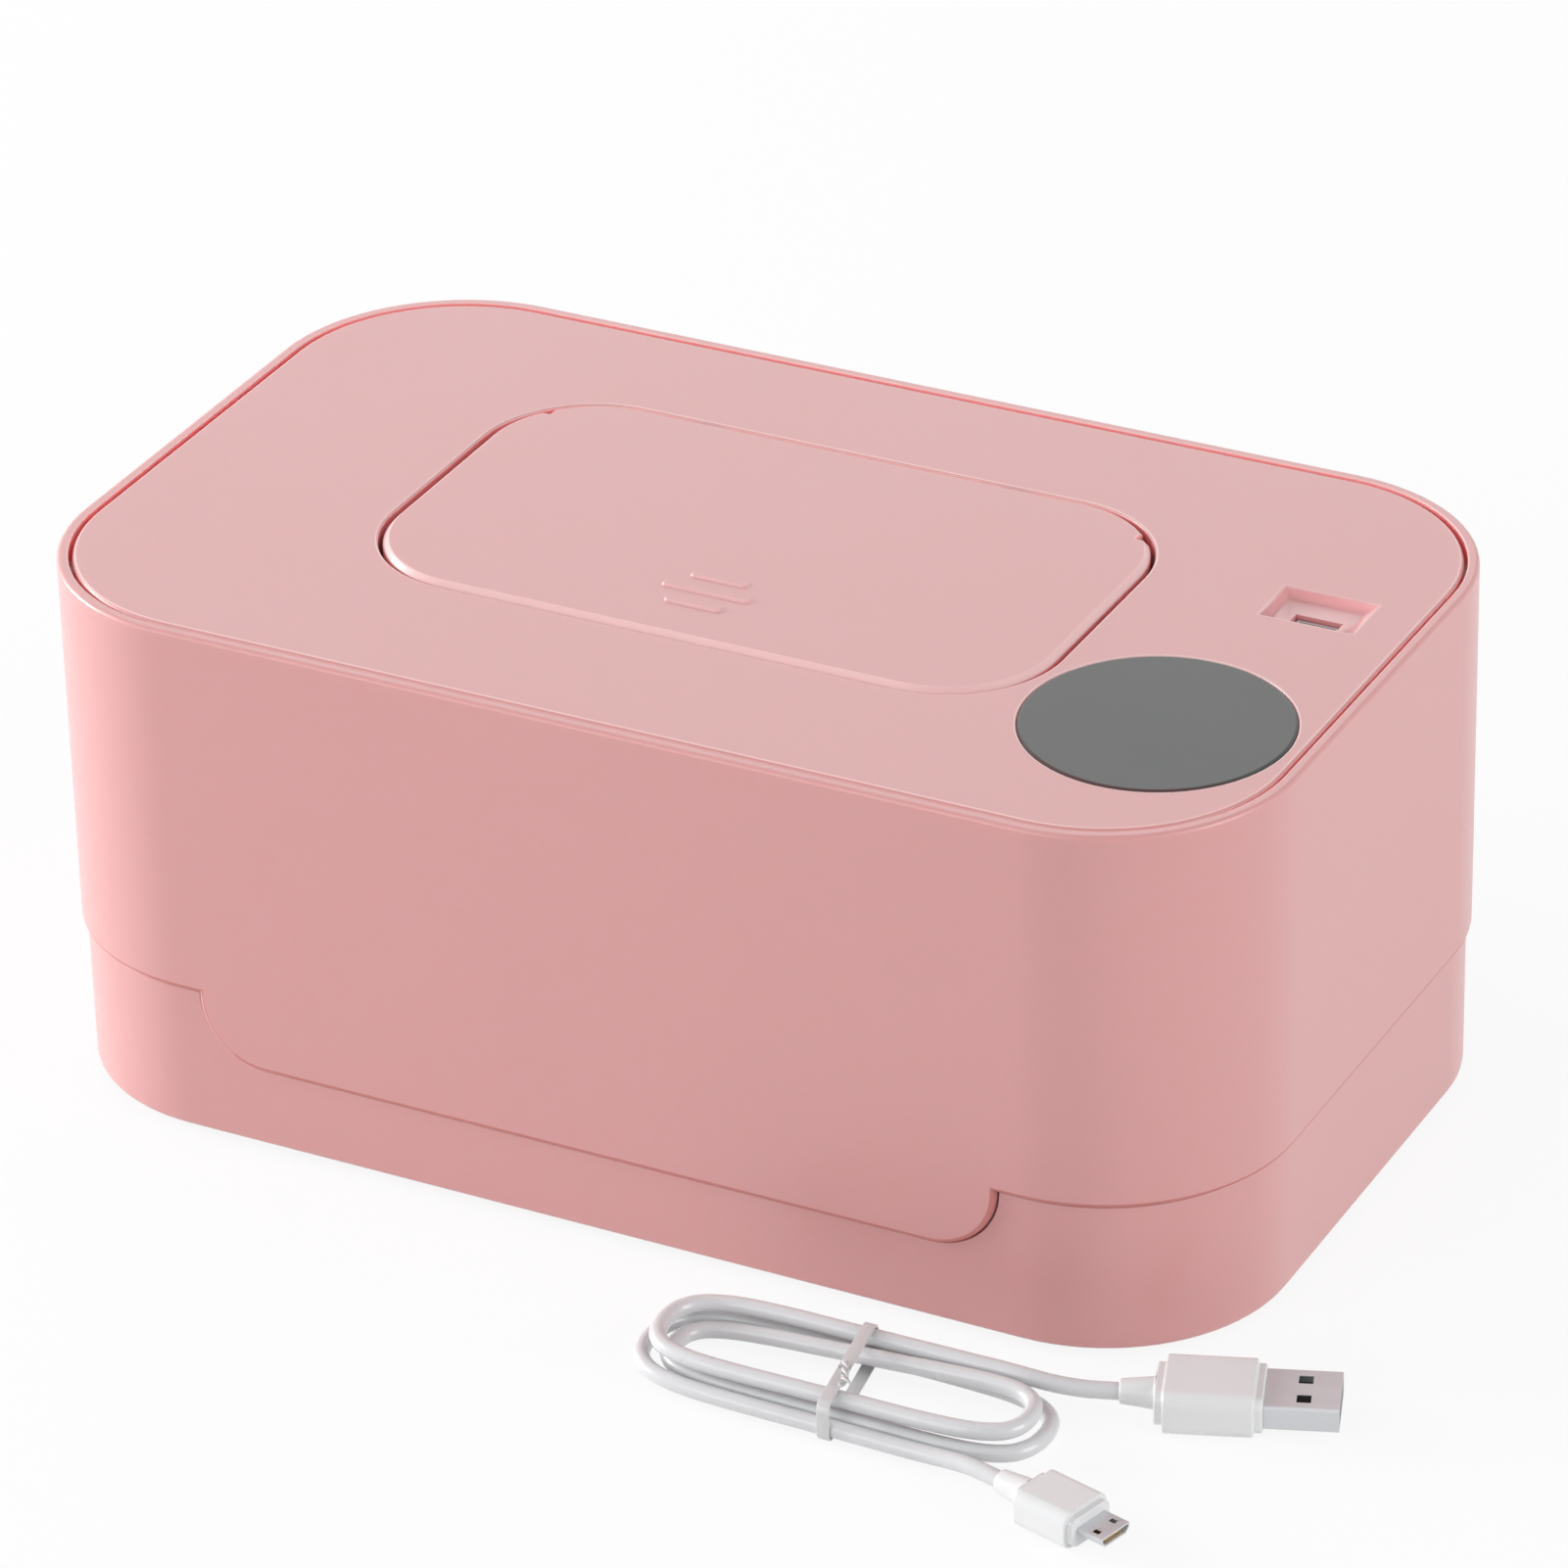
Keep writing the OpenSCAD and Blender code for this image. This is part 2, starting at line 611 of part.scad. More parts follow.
// ---- heater ---------------------------------------------------------------------
module inner_cover() color(white) {
    l = length - 2 * (wall + inner_gap);
    w = width - 2 * (wall + inner_gap);
    r = corner_r - wall - inner_gap;
    difference() {
        union() {
            swept(l, w, r, concat(arc([1.5, inner_z + 1.5], 1.5, 270, 180, 4),
                [[0, ledge_z], [inner_wall, ledge_z], [inner_wall, inner_floor_z],
                [3, inner_floor_z], [3, inner_z]]));
            plate(l - 4, w - 4, r - 2, inner_z, inner_t);
            for (p = board_holes) translate([p[0], p[1], inner_z + 0.2])
                cylinder(r = boss_r, h = inner_t + board_stand - 0.2);
            for (p = heater_boss) translate([p[0], p[1], plate_z + plate_t])
                cylinder(r = boss_r, h = inner_floor_z + 2 - plate_z - plate_t);
        }
        translate([opening_x, mouth_cy, 0]) plate(tube_l + 2 * gap, tube_w + 2 * gap,
            tube_w / 2 + gap - 0.01, inner_z - 5, 20);
        for (p = panel_boss) translate([p[0], p[1], inner_z - 1]) {
            cylinder(r = screw_r + 0.3, h = 10);
            cylinder(r = screw_head_r + 0.2, h = 1 + inner_t / 2);
        }
        for (p = heater_boss) translate([p[0], p[1], plate_z])
            cylinder(r = screw_r, h = inner_floor_z + 1 - plate_z);
        for (p = board_holes) translate([p[0], p[1], inner_z + 1])
            cylinder(r = screw_r, h = 10);
        for (p = wire_pos) translate([p[0], p[1], inner_z - 1])
            cylinder(r = wire_r + gap, h = inner_t + 2);
    }
}

// A layer of the heater, with the mouth's hole grown by g and screw holes of radius hole
module heater_layer(l, w, r, z, t, g, hole) difference() {
    plate(l, w, r, z, t);
    translate([opening_x, mouth_cy, 0]) plate(tube_l + 2 * g, tube_w + 2 * g, tube_w / 2 + g - 0.01,
        z - 1, t + 2);
    for (p = heater_boss) translate([p[0], p[1], z - 1]) cylinder(r = hole, h = t + 2);
}

module heater_plate() color([0.8, 0.81, 0.83]) {
    difference() {
        heater_layer(plate_l, plate_w, plate_r, plate_z, plate_t, 1, screw_r + 0.3);
        for (p = heater_boss) translate([p[0], p[1], plate_z - 0.01])
            cylinder(r1 = screw_head_r + 0.25, r2 = screw_r + 0.3, h = plate_t);
    }
}

module film_heater() color([0.85, 0.55, 0.25])
    heater_layer(plate_l - 3 * film_in, plate_w - 2 * film_in, plate_r - film_in, film_z, film_t,
        3, boss_r + 0.4);

module insulation_pad() color([0.3, 0.3, 0.32]) difference() {
    heater_layer(plate_l - film_in, plate_w - film_in, plate_r - film_in / 2, film_z + film_t,
        pad_t, 1, boss_r + 0.4);
    block(fuse_pos, [fuse_l + 2, 2 * fuse_r + 1, pad_t + 2], film_z);
    block(sensor_pos, [2 * sensor_r + 1.4, 2 * sensor_r + 1.4, pad_t + 2], film_z);
    for (p = wire_pos) translate([p[0], p[1], film_z]) cylinder(r = wire_r + gap, h = pad_t + 2);
}

// ---- dispensing mouth -----------------------------------------------------------
module dispensing_mouth() color(white) translate([opening_x, mouth_cy, 0]) {
    section = concat([[0, mouth_low], [0, well_z], [-flange_out, well_z],
        [-flange_out, well_z + flange_t], [0, well_z + flange_t],
        [0, collar_top - 0.6], [0.6, collar_top], [mouth_wall - 0.4, collar_top],
        [mouth_wall, collar_top - 0.4], [mouth_wall, mouth_low + 0.5],
        [mouth_wall - 0.5, mouth_low]]);
    swept(tube_l, tube_w, tube_w / 2 - 0.01, section);
}

// ---- hinge, spring and latch ----------------------------------------------------
module hinge_pin() color(steel) translate([opening_x, 0, 0])
    rod_x(pin_r, barrel_half - 1, axis_y, axis_z);

// Torsion spring round the pin, with one leg under the flap and one on the well's floor
module flap_spring() color(steel) {
    wire = 0.4;
    coil_r = pin_r + wire / 2 + 0.25;
    half = 2.6;
    steps = 8 * 4 + 6;
    coil = [for (i = [0:steps]) [-half + 2 * half * i / steps,
        axis_y + coil_r * sin(45 * i), axis_z - coil_r * cos(45 * i)]];
    under_flap = [-half, axis_y - 9, flap_z - flap_t - wire / 2 - 0.25];
    on_floor = [half, axis_y - coil_r, well_z + 0.1];
    translate([opening_x, 0, 0]) across_tube(concat(
        [under_flap, [-half, axis_y - 3, axis_z - coil_r - 0.2]], coil, [on_floor]), wire, 6);
}

// A tube for a path that winds round the X axis
module across_tube(path, d, sides) {
    n = len(path);
    dir = [for (i = [0:n - 1]) unit(path[min(i + 1, n - 1)] - path[max(i - 1, 0)])];
    side = [for (t = dir) unit(cross(t, [1, 0, 0]))];
    tube_skin([for (i = [0:n - 1], k = [0:sides - 1]) let (a = 360 * k / sides)
        path[i] + d / 2 * (cos(a) * side[i] + sin(a) * cross(side[i], dir[i]))], n, sides);
}

latch_y = flap_front + 5.4;
striker_low = well_z + 2.7;

module touch_latch() color([0.9, 0.9, 0.88]) difference() {
    block([opening_x, latch_y], [13, 6.6, 5.2], well_z);
    block([opening_x, latch_y], [6.6, 3.4, 6], well_z + 1.2);
}

module flap() color(pink) translate([opening_x, 0, 0]) {
    r = opening_r - flap_end_gap;
    b = flap_bevel;
    difference() {
        union() {
            translate([0, flap_y, 0]) {
                plate(flap_l - 2 * b, flap_w - 2 * b, r - b, flap_z - flap_t, flap_t);
                swept(flap_l, flap_w, r, [[0, flap_z - flap_t], [0, flap_z - b], [b, flap_z],
                    [2, flap_z], [2, flap_z - flap_t]]);
            }
            rod_x(barrel_r, barrel_half, axis_y, axis_z);
        }
        for (s = [0, 1]) mirror([s, 0, 0]) translate([relief_x, relief_y, flap_z - 2 * flap_t])
            cube([opening_r, opening_r, 3 * flap_t]);
        rod_x(pin_r + pin_clear, length / 2, axis_y, axis_z);
        // slots for the two ears, and room for the spring
        for (sx = [-1, 1]) block([sx * ear_x, axis_y + 5 - notch_r],
            [ear_w + 2 * notch_side, 10, notch_r + 8], axis_z - 8);
        block([0, axis_y], [spring_room, 2 * notch_r, notch_r + 8], axis_z - 8);
        block([0, axis_y], [spring_room, 3 * barrel_r, 8], flap_z - flap_t - 8);
    }
    // ribs that mark where to press
    for (i = [-1:1]) translate([-0.5, opening_front + 16.4 + grip_pitch * i, flap_z - 0.2])
        linear_extrude(grip_h + 0.2) rounded(grip_l * (i == 0 ? 1 : 0.64), 1.5, 0.7);
    // rib that closes round the dispensing mouth's flange
    translate([opening_x, mouth_cy, 0]) swept(tube_l + 2 * seal_rib_in + 3, tube_w + 2 * seal_rib_in + 3,
        tube_w / 2 + seal_rib_in + 1.5 - 0.01, [[0, seal_z - 0.6], [0, flap_z - flap_t + 0.2],
        [1.5, flap_z - flap_t + 0.2], [1.5, seal_z - 0.6]]);
    // striker of the latch
    block([0, latch_y], [3, 1.6, flap_z - flap_t + 0.2 - striker_low], striker_low);
    block([0, latch_y], [5.4, 2.2, 1.4], striker_low);
}

module flap_gasket() color([0.9, 0.88, 0.87]) translate([opening_x, mouth_cy, 0])
    swept(tube_l + 3, tube_w + 3, tube_w / 2 + 1.5 - 0.01, [[0, seal_z + 0.6], [0.6, seal_z],
        [4, seal_z], [4.6, seal_z + 0.6], [4.6, flap_z - flap_t], [0, flap_z - flap_t]]);

// ---- screws ---------------------------------------------------------------------
// A screw whose head's face is at z and whose shank runs up
module screw(p, z, head_h, l) translate([p[0], p[1], z]) difference() {
    union() {
        cylinder(r = screw_head_r, h = head_h);
        cylinder(r = screw_r - 0.02, h = l);
    }
    for (a = [0, 90]) rotate(a) translate([-1.4, -0.25, -1]) cube([2.8, 0.5, 1.6]);
}

module panel_screws() color(steel) for (p = panel_boss)
    screw(p, inner_z + inner_t / 2 - screw_head_h - 0.05, screw_head_h, screw_l);

module heater_screws() color(steel) for (p = heater_boss)
    translate([p[0], p[1], plate_z + 0.05]) difference() {
        union() {
            cylinder(r1 = screw_head_r, r2 = screw_r, h = plate_t - 0.1);
            cylinder(r = screw_r - 0.02, h = short_screw_l);
        }
        for (a = [0, 90]) rotate(a) translate([-1.4, -0.25, -1]) cube([2.8, 0.5, 1.5]);
    }

module board_screws() color(steel) for (p = board_holes)
    translate([0, 0, board_z + board_t]) mirror([0, 0, 1])
        translate([0, 0, -screw_head_h]) screw(p, 0, screw_head_h, short_screw_l);

// ---- power lead -----------------------------------------------------------------
hank_pos = [62, -94];
tie_t = 0.6;                             // thickness of the tie's strip
tie_w = 2.4;
cord_z = cord_d / 2 + tie_t + 0.1;       // the tie's strip passes under the lead
layer_z = cord_d + 0.5;
hank_start = 283;                        // angle round the hank where it starts
hank_turns = 2.6;
hank_turn_at = 1.536;                    // turns from the start to where it climbs and reverses
hank_steps = 62;

// Routes of the two free ends, from the hank to the plugs
lead_a = [[83, -83.3, 5.7], [86, -83.3, 5.7], [89, -83.1, 5.5], [92, -82.5, 5], [95, -81.6, 4.5],
    [98, -80.5, 4.1], [100.8, -79.5, 4], [103.6, -78.5, 4]];
lead_b = [[76.1, -106.4, 2.2], [79.1, -106.4, 2.2], [82, -106.5, 2.3], [85, -106.8, 2.6],
    [88, -107.3, 3], [91, -108, 3.3], [94, -108.8, 3.4], [97, -109.6, 3.4]];
plug_a_turn = 20;                        // the way the plugs point, from +X
plug_b_turn = -15;

function fold(u) = (3 * u - u * u * u) / 2;
function ease(t) = let (s = max(0, min(1, t))) s * s * (3 - 2 * s);
function hank_point(t) = let (
    a = hank_start - 360 * t,
    b = hank_in + hank_pitch * (sqrt(pow(t - hank_turn_at, 2) + 0.01) - 0.1),
    u = cos(a),
    x = b * u + hank_run / 2 * fold(u),
    y = b * sin(a) * (1 - hank_waist * pow(sin(a), 4)))
    [hank_pos[0] + x, hank_pos[1] + y,
    cord_z + layer_z * ease((t - hank_turn_at) / 0.3 + 0.5)];
hank_path = concat([lead_b[0]], [for (i = [0:hank_steps]) hank_point(hank_turns * i / hank_steps)],
    [lead_a[0]]);
echo(hank_gap_to_itself = least_gap(hank_path, cord_d, 6), over = 0.4);
echo(lead_length = path_length(hank_path) + path_length(lead_a) + path_length(lead_b));

module cable_hank() color("white")
    tube(hank_path, cord_d, 6, [-1, 0, 0], [1, 0, 0]);

module cable_lead_a() color("white")
    tube(lead_a, cord_d, 8, [1, 0, 0], [cos(plug_a_turn), sin(plug_a_turn), 0]);

module cable_lead_b() color("white")
    tube(lead_b, cord_d, 8, [1, 0, 0], [cos(plug_b_turn), sin(plug_b_turn), 0]);

// The strip round the hank's waist, and its two ends twisted together on top
module cable_tie() color([0.9, 0.9, 0.88]) {
    waist = [hank_point((hank_start - 270) / 360)[1], hank_point((hank_start + 630) / 360)[1]];
    mid = (waist[0] + waist[1]) / 2;
    inner = [waist[1] - waist[0] + cord_d + 0.2, layer_z + cord_d + 0.2];
    translate([hank_pos[0] - tie_w / 2, mid, tie_t + inner[1] / 2]) rotate([90, 0, 90])
        linear_extrude(tie_w) difference() {
            rounded(inner[0] + 2 * tie_t, inner[1] + 2 * tie_t, 2.2);
            rounded(inner[0], inner[1], 2.2 - tie_t);
        }
    translate([hank_pos[0], mid - 1, inner[1] + 2 * tie_t + 0.65]) rotate([90, 0, 25])
        linear_extrude(7, twist = 540, slices = 12, $fn = 4) square([1.9, 0.9], center = true);
}

// Places a plug's parts: +X is the way it points, from the end of the lead
module at_plug(lead, turn) translate(lead[len(lead) - 1]) rotate(turn) children();

// A bar along X with round corners
module bar(x, l, w, h, r) translate([x, 0, 0]) rotate([90, 0, 90]) linear_extrude(l) rounded(w, h, r);

relief_l = 6;
plug_a_l = 18;
plug_a_h = 2 * lead_a[7][2];             // the plugs lie on the table
shell_a_l = 12.5;
plug_b_l = 13;
plug_b_h = 2 * lead_b[7][2];
shell_b_l = 5.2;

module usb_a_overmold() color("white") at_plug(lead_a, plug_a_turn) {
    rotate([0, 90, 0]) cylinder(r1 = cord_d / 2 + 0.6, r2 = cord_d / 2 + 1.3, h = relief_l);
    bar(relief_l, 1.5, 12, plug_a_h - 1.6, 2);
    bar(relief_l + 1.5, plug_a_l - 3, 15, plug_a_h, 2.4);
    bar(relief_l + plug_a_l - 1.5, 1.5, 13.4, plug_a_h - 1.4, 1.8);
}

module usb_a_shell() color(steel) at_plug(lead_a, plug_a_turn) difference() {
    bar(relief_l + plug_a_l, shell_a_l, 12, 4.5, 0.6);
    bar(relief_l + plug_a_l + 0.4, shell_a_l, 11.4, 3.9, 0.35);
    for (sy = [-1, 1]) block([relief_l + plug_a_l + shell_a_l - 6, sy * 2.85], [2.4, 2.4, 6], -3);
}

module usb_a_tongue() color([0.12, 0.12, 0.13]) at_plug(lead_a, plug_a_turn)
    translate([relief_l + plug_a_l + 0.4, -5.4, -1.9]) cube([shell_a_l - 1.2, 10.8, 1.9]);

module micro_overmold() color("white") at_plug(lead_b, plug_b_turn) {
    rotate([0, 90, 0]) cylinder(r1 = cord_d / 2 + 0.5, r2 = cord_d / 2 + 1.1, h = relief_l);
    bar(relief_l, 1.2, 8.6, plug_b_h - 1.4, 1.8);
    bar(relief_l + 1.2, plug_b_l - 2.4, 10.8, plug_b_h, 2.1);
    bar(relief_l + plug_b_l - 1.2, 1.2, 9.4, plug_b_h - 1.4, 1.6);
}

// Section of the small plug's shell, seen along X, drawn in by g
module micro_section(g) polygon([[-3.42 + g, 0.9 - g], [3.42 - g, 0.9 - g], [3.42 - g, 0.05],
    [2.6 - g * 0.6, -0.9 + g], [-2.6 + g * 0.6, -0.9 + g], [-3.42 + g, 0.05]]);

module micro_shell() color(steel) at_plug(lead_b, plug_b_turn) difference() {
    translate([relief_l + plug_b_l, 0, 0]) rotate([90, 0, 90]) linear_extrude(shell_b_l)
        micro_section(0);
    translate([relief_l + plug_b_l + 0.4, 0, 0]) rotate([90, 0, 90]) linear_extrude(shell_b_l)
        micro_section(0.3);
    for (sy = [-1, 1]) block([relief_l + plug_b_l + shell_b_l - 2.2, sy * 2], [1.4, 1.1, 3], 0);
}

module micro_tongue() color([0.83, 0.68, 0.35]) at_plug(lead_b, plug_b_turn)
    translate([relief_l + plug_b_l + 0.4, -2.1, -0.4]) cube([shell_b_l - 1, 4.2, 0.6]);

base_shell();
base_feet();
lift_springs();
wipe_platform();
cover_casing();
top_panel();
display_lens();
display_module();
control_board();
board_parts();
usb_socket();
inner_cover();
heater_plate();
film_heater();
insulation_pad();
thermal_fuse();
temperature_sensor();
heater_wires();
dispensing_mouth();
hinge_pin();
flap_spring();
touch_latch();
panel_screws();
heater_screws();
board_screws();
flap();
flap_gasket();
cable_hank();
cable_lead_a();
cable_lead_b();
cable_tie();
usb_a_overmold();
usb_a_shell();
usb_a_tongue();
micro_overmold();
micro_shell();
micro_tongue();
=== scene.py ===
import json
import math

import bmesh
import bpy
import numpy as np
from mathutils import Matrix, Vector


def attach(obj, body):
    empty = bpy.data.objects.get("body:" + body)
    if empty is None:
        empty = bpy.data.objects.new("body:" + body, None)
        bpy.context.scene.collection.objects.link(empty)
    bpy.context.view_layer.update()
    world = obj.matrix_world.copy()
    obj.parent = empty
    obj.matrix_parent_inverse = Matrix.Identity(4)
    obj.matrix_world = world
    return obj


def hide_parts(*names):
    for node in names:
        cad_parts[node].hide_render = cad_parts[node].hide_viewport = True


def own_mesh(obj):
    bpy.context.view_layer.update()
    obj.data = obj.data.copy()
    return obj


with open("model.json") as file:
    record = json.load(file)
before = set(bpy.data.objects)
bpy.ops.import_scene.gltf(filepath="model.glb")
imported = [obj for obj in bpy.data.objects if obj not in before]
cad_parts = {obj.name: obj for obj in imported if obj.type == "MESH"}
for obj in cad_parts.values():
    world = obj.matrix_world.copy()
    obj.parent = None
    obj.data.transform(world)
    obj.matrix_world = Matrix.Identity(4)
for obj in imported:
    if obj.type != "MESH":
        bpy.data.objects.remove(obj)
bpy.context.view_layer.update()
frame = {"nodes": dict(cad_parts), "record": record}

MM = 0.001
NODES = frame["nodes"]
SCENE = bpy.context.scene

# ---- camera ----------------------------------------------------------------------
CAMERA_LENS = 185.5
CAMERA_SENSOR = 36
CAMERA_NEAR = 0.05
CAMERA_ROWS = (
    (0.88982, -0.20535, 0.40749, 0.57534),
    (0.45580, 0.44205, -0.77255, -1.08583),
    (-0.02149, 0.87317, 0.48695, 0.73921),
    (0, 0, 0, 1),
)
camera_data = bpy.data.cameras.new("camera")
camera_data.lens = CAMERA_LENS
camera_data.sensor_width = CAMERA_SENSOR
camera_data.clip_start = CAMERA_NEAR
camera = bpy.data.objects.new("camera", camera_data)
SCENE.collection.objects.link(camera)
camera.matrix_world = Matrix(CAMERA_ROWS)
SCENE.camera = camera

# ---- materials -------------------------------------------------------------------
PLASTIC_IOR = 1.46
ROUGH_LOW, ROUGH_HIGH = 0.88, 1.12  # how far the patches move the roughness
SOFT_RADIUS = (1, 0.4, 0.35)  # red light spreads furthest under the surface
SOFT_SCALE = 2.5 * MM
# sockets of a Mix node that mixes colours
MIX_FACTOR, MIX_A, MIX_B, MIX_RESULT = 0, 6, 7, 2


def srgb(r, g, b):
    """An 8-bit sRGB colour as linear RGBA."""
    def one(v):
        v /= 255
        return v / 12.92 if v <= 0.04045 else ((v + 0.055) / 1.055) ** 2.4
    return (one(r), one(g), one(b), 1)


def shade(color, factor):
    """The colour made lighter or darker by a factor."""
    return tuple(min(1, c * factor) for c in color[:3]) + (1,)


def material(name, color, rough, *, vary=0.03, patch=0.02, grain=0.0003, bump=0.05,
             metal=0.0, specular=0.5, coat=0.0, coat_rough=0.1, stretch=(1, 1, 1),
             soft=0.0):
    """A procedural finish: colour drifts in patches and in a fine grain, roughness
    follows the patches, and the grain is a bump. patch and grain are sizes in metres,
    stretch draws both out, and soft is how much light spreads under the surface."""
    mat = bpy.data.materials.new(name)
    mat.use_nodes = True
    tree = mat.node_tree
    tree.nodes.clear()
    add = tree.nodes.new
    link = tree.links.new
    place = add("ShaderNodeTexCoord")
    scale = add("ShaderNodeMapping")
    scale.inputs["Scale"].default_value = stretch
    link(place.outputs["Object"], scale.inputs["Vector"])

    def noise(size, detail):
        node = add("ShaderNodeTexNoise")
        node.inputs["Scale"].default_value = 1 / size
        node.inputs["Detail"].default_value = detail
        link(scale.outputs["Vector"], node.inputs["Vector"])
        return node.outputs["Fac"]

    cloud = noise(patch, 3)
    fine = noise(grain, 2)
    tint = add("ShaderNodeMix")
    tint.data_type = "RGBA"
    tint.inputs[MIX_A].default_value = shade(color, 1 - vary)
    tint.inputs[MIX_B].default_value = shade(color, 1 + vary)
    link(cloud, tint.inputs[MIX_FACTOR])
    speck = add("ShaderNodeMix")
    speck.data_type = "RGBA"
    speck.blend_type = "MULTIPLY"
    speck.inputs[MIX_FACTOR].default_value = vary
    link(tint.outputs[MIX_RESULT], speck.inputs[MIX_A])
    link(fine, speck.inputs[MIX_B])
    gloss = add("ShaderNodeMapRange")
    gloss.inputs["To Min"].default_value = rough * ROUGH_LOW
    gloss.inputs["To Max"].default_value = min(1, rough * ROUGH_HIGH)
    link(cloud, gloss.inputs["Value"])
    relief = add("ShaderNodeBump")
    relief.inputs["Strength"].default_value = bump
    relief.inputs["Distance"].default_value = grain / 2
    link(fine, relief.inputs["Height"])
    bsdf = add("ShaderNodeBsdfPrincipled")
    for socket, value in (
            ("Metallic", metal), ("IOR", PLASTIC_IOR), ("Specular IOR Level", specular),
            ("Coat Weight", coat), ("Coat Roughness", coat_rough),
            ("Subsurface Weight", soft), ("Subsurface Radius", SOFT_RADIUS),
            ("Subsurface Scale", SOFT_SCALE)):
        bsdf.inputs[socket].default_value = value
    link(speck.outputs[MIX_RESULT], bsdf.inputs["Base Color"])
    link(gloss.outputs["Result"], bsdf.inputs["Roughness"])
    link(relief.outputs["Normal"], bsdf.inputs["Normal"])
    out = add("ShaderNodeOutputMaterial")
    link(bsdf.outputs["BSDF"], out.inputs["Surface"])
    mat.diffuse_color = color
    return mat


PINK = srgb(207, 151, 150)
PINK_ROUGH = 0.42
MOULDED = {"vary": 0.015, "coat": 0.5, "coat_rough": 0.25, "soft": 0.35}
ROUNDED = {"vary": 0.01, "specular": 0.6, "coat": 0.5, "coat_rough": 0.25, "soft": 0.35}
IN_GAP = {"vary": 0.01, "soft": 0.35}
MATS = {
    "pink_shell": material("moulded_pink_shell", PINK, PINK_ROUGH, patch=0.05, **MOULDED),
    "pink_panel": material("moulded_pink_panel", PINK, PINK_ROUGH, patch=0.05, **MOULDED),
    "pink_flap": material("moulded_pink_flap", PINK, PINK_ROUGH, patch=0.04, **MOULDED),
    # Painted highlight: a paler pink on rounded edges, standing in for the light that they
    # catch.
    "pink_painted_highlight": material("moulded_pink_painted_highlight", srgb(230, 190, 189), 0.3, **ROUNDED),
    # Painted highlight, softer: a lighter pink on the flap's top edge and on the recess's rim
    # and floor.
    "pink_painted_soft_highlight": material("moulded_pink_painted_soft_highlight", srgb(219, 168, 168), 0.35, **ROUNDED),
    # Painted bounce light: a brighter, deeper pink on the recess's walls.
    "pink_painted_bounce_wall": material("moulded_pink_painted_bounce_wall", srgb(224, 158, 160), 0.45, **IN_GAP),
    # Painted shadow: a darker pink in the seam under the cover's skirt.
    "pink_painted_shadow": material("moulded_pink_painted_seam_shadow", srgb(192, 122, 118), 0.5, **IN_GAP),
    # Painted bounce light: a deep, bright pink on the walls of the narrow gaps round the
    # panel and the flap.
    "pink_painted_bounce_groove": material("moulded_pink_painted_bounce_groove", srgb(250, 168, 170), 0.5, vary=0.01,
                            soft=1.0),
    # Painted shadow: dark maroon on the lens's rounding where it faces the front.
    "lens_painted_shadow": material("display_lens_painted_shadow", srgb(78, 38, 42), 0.3, vary=0.02),
    "lens": material("display_lens_grey", srgb(61, 64, 61), 0.3, vary=0.02,
                     grain=0.0002, bump=0.01),
    "white_plastic": material("moulded_white", srgb(236, 236, 232), 0.4),
    "latch_plastic": material("latch_acetal", srgb(222, 222, 214), 0.35),
    "display_body": material("display_board", srgb(232, 232, 224), 0.5),
    "foot_rubber": material("foot_rubber", srgb(206, 200, 196), 0.8, bump=0.2),
    "spring_wire": material("spring_wire", srgb(196, 198, 202), 0.28, metal=1.0,
                            grain=0.0001, bump=0.08),
    "board": material("circuit_board", srgb(32, 92, 56), 0.35, vary=0.12, patch=0.004),
    "chips": material("black_epoxy", srgb(38, 38, 41), 0.5),
    "connector_steel": material("plated_shell", srgb(206, 208, 211), 0.4, metal=0.35,
                                grain=0.0001, bump=0.04, stretch=(1, 8, 8)),
    "heater_metal": material("rolled_aluminium", srgb(208, 210, 213), 0.36, metal=1.0,
                             bump=0.1, stretch=(0.06, 1, 1)),
    "film": material("polyimide_film", srgb(203, 128, 46), 0.3, vary=0.08),
    "foam": material("closed_cell_foam", srgb(76, 77, 80), 0.9, grain=0.0008, bump=0.4),
    "fuse": material("glazed_fuse", srgb(208, 202, 182), 0.3),
    "wire_red": material("silicone_wire", srgb(186, 44, 38), 0.4),
    "pin_steel": material("ground_pin", srgb(190, 192, 196), 0.22, metal=1.0),
    "screw_steel": material("zinc_screw", srgb(182, 184, 188), 0.32, metal=1.0),
    "gasket": material("silicone_gasket", srgb(232, 228, 224), 0.55),
    "cord_white": material("white_cord", srgb(208, 209, 211), 0.28, vary=0.01,
                           patch=0.01, bump=0.02, coat=0.4, coat_rough=0.12),
    "tie_plastic": material("tie_strip", srgb(202, 203, 204), 0.3, patch=0.003,
                            bump=0.04, coat=0.3),
    "plug_white": material("white_overmold", srgb(222, 223, 224), 0.24, vary=0.01,
                           patch=0.01, bump=0.02, coat=0.35, coat_rough=0.08),
    "contacts": material("gilt_contact", srgb(214, 172, 92), 0.25, metal=1.0),
}
SLOT_OF = {s["node"]: s["material_slot"] for s in frame["record"]["subparts"]}
for node_name, node_object in NODES.items():
    node_object.data.materials.clear()
    node_object.data.materials.append(MATS[SLOT_OF[node_name]])

# ---- mesh helpers ----------------------------------------------------------------
MERGE_WITHIN = 0.001 * MM
FLAT_ANGLE = math.radians(0.4)  # faces that meet at less than this are one face
EDGE_ANGLE = math.radians(28)  # edges that are sharper than this can be rounded
ON_OUTLINE = 0.3  # millimetres inside an outline that still count as on it


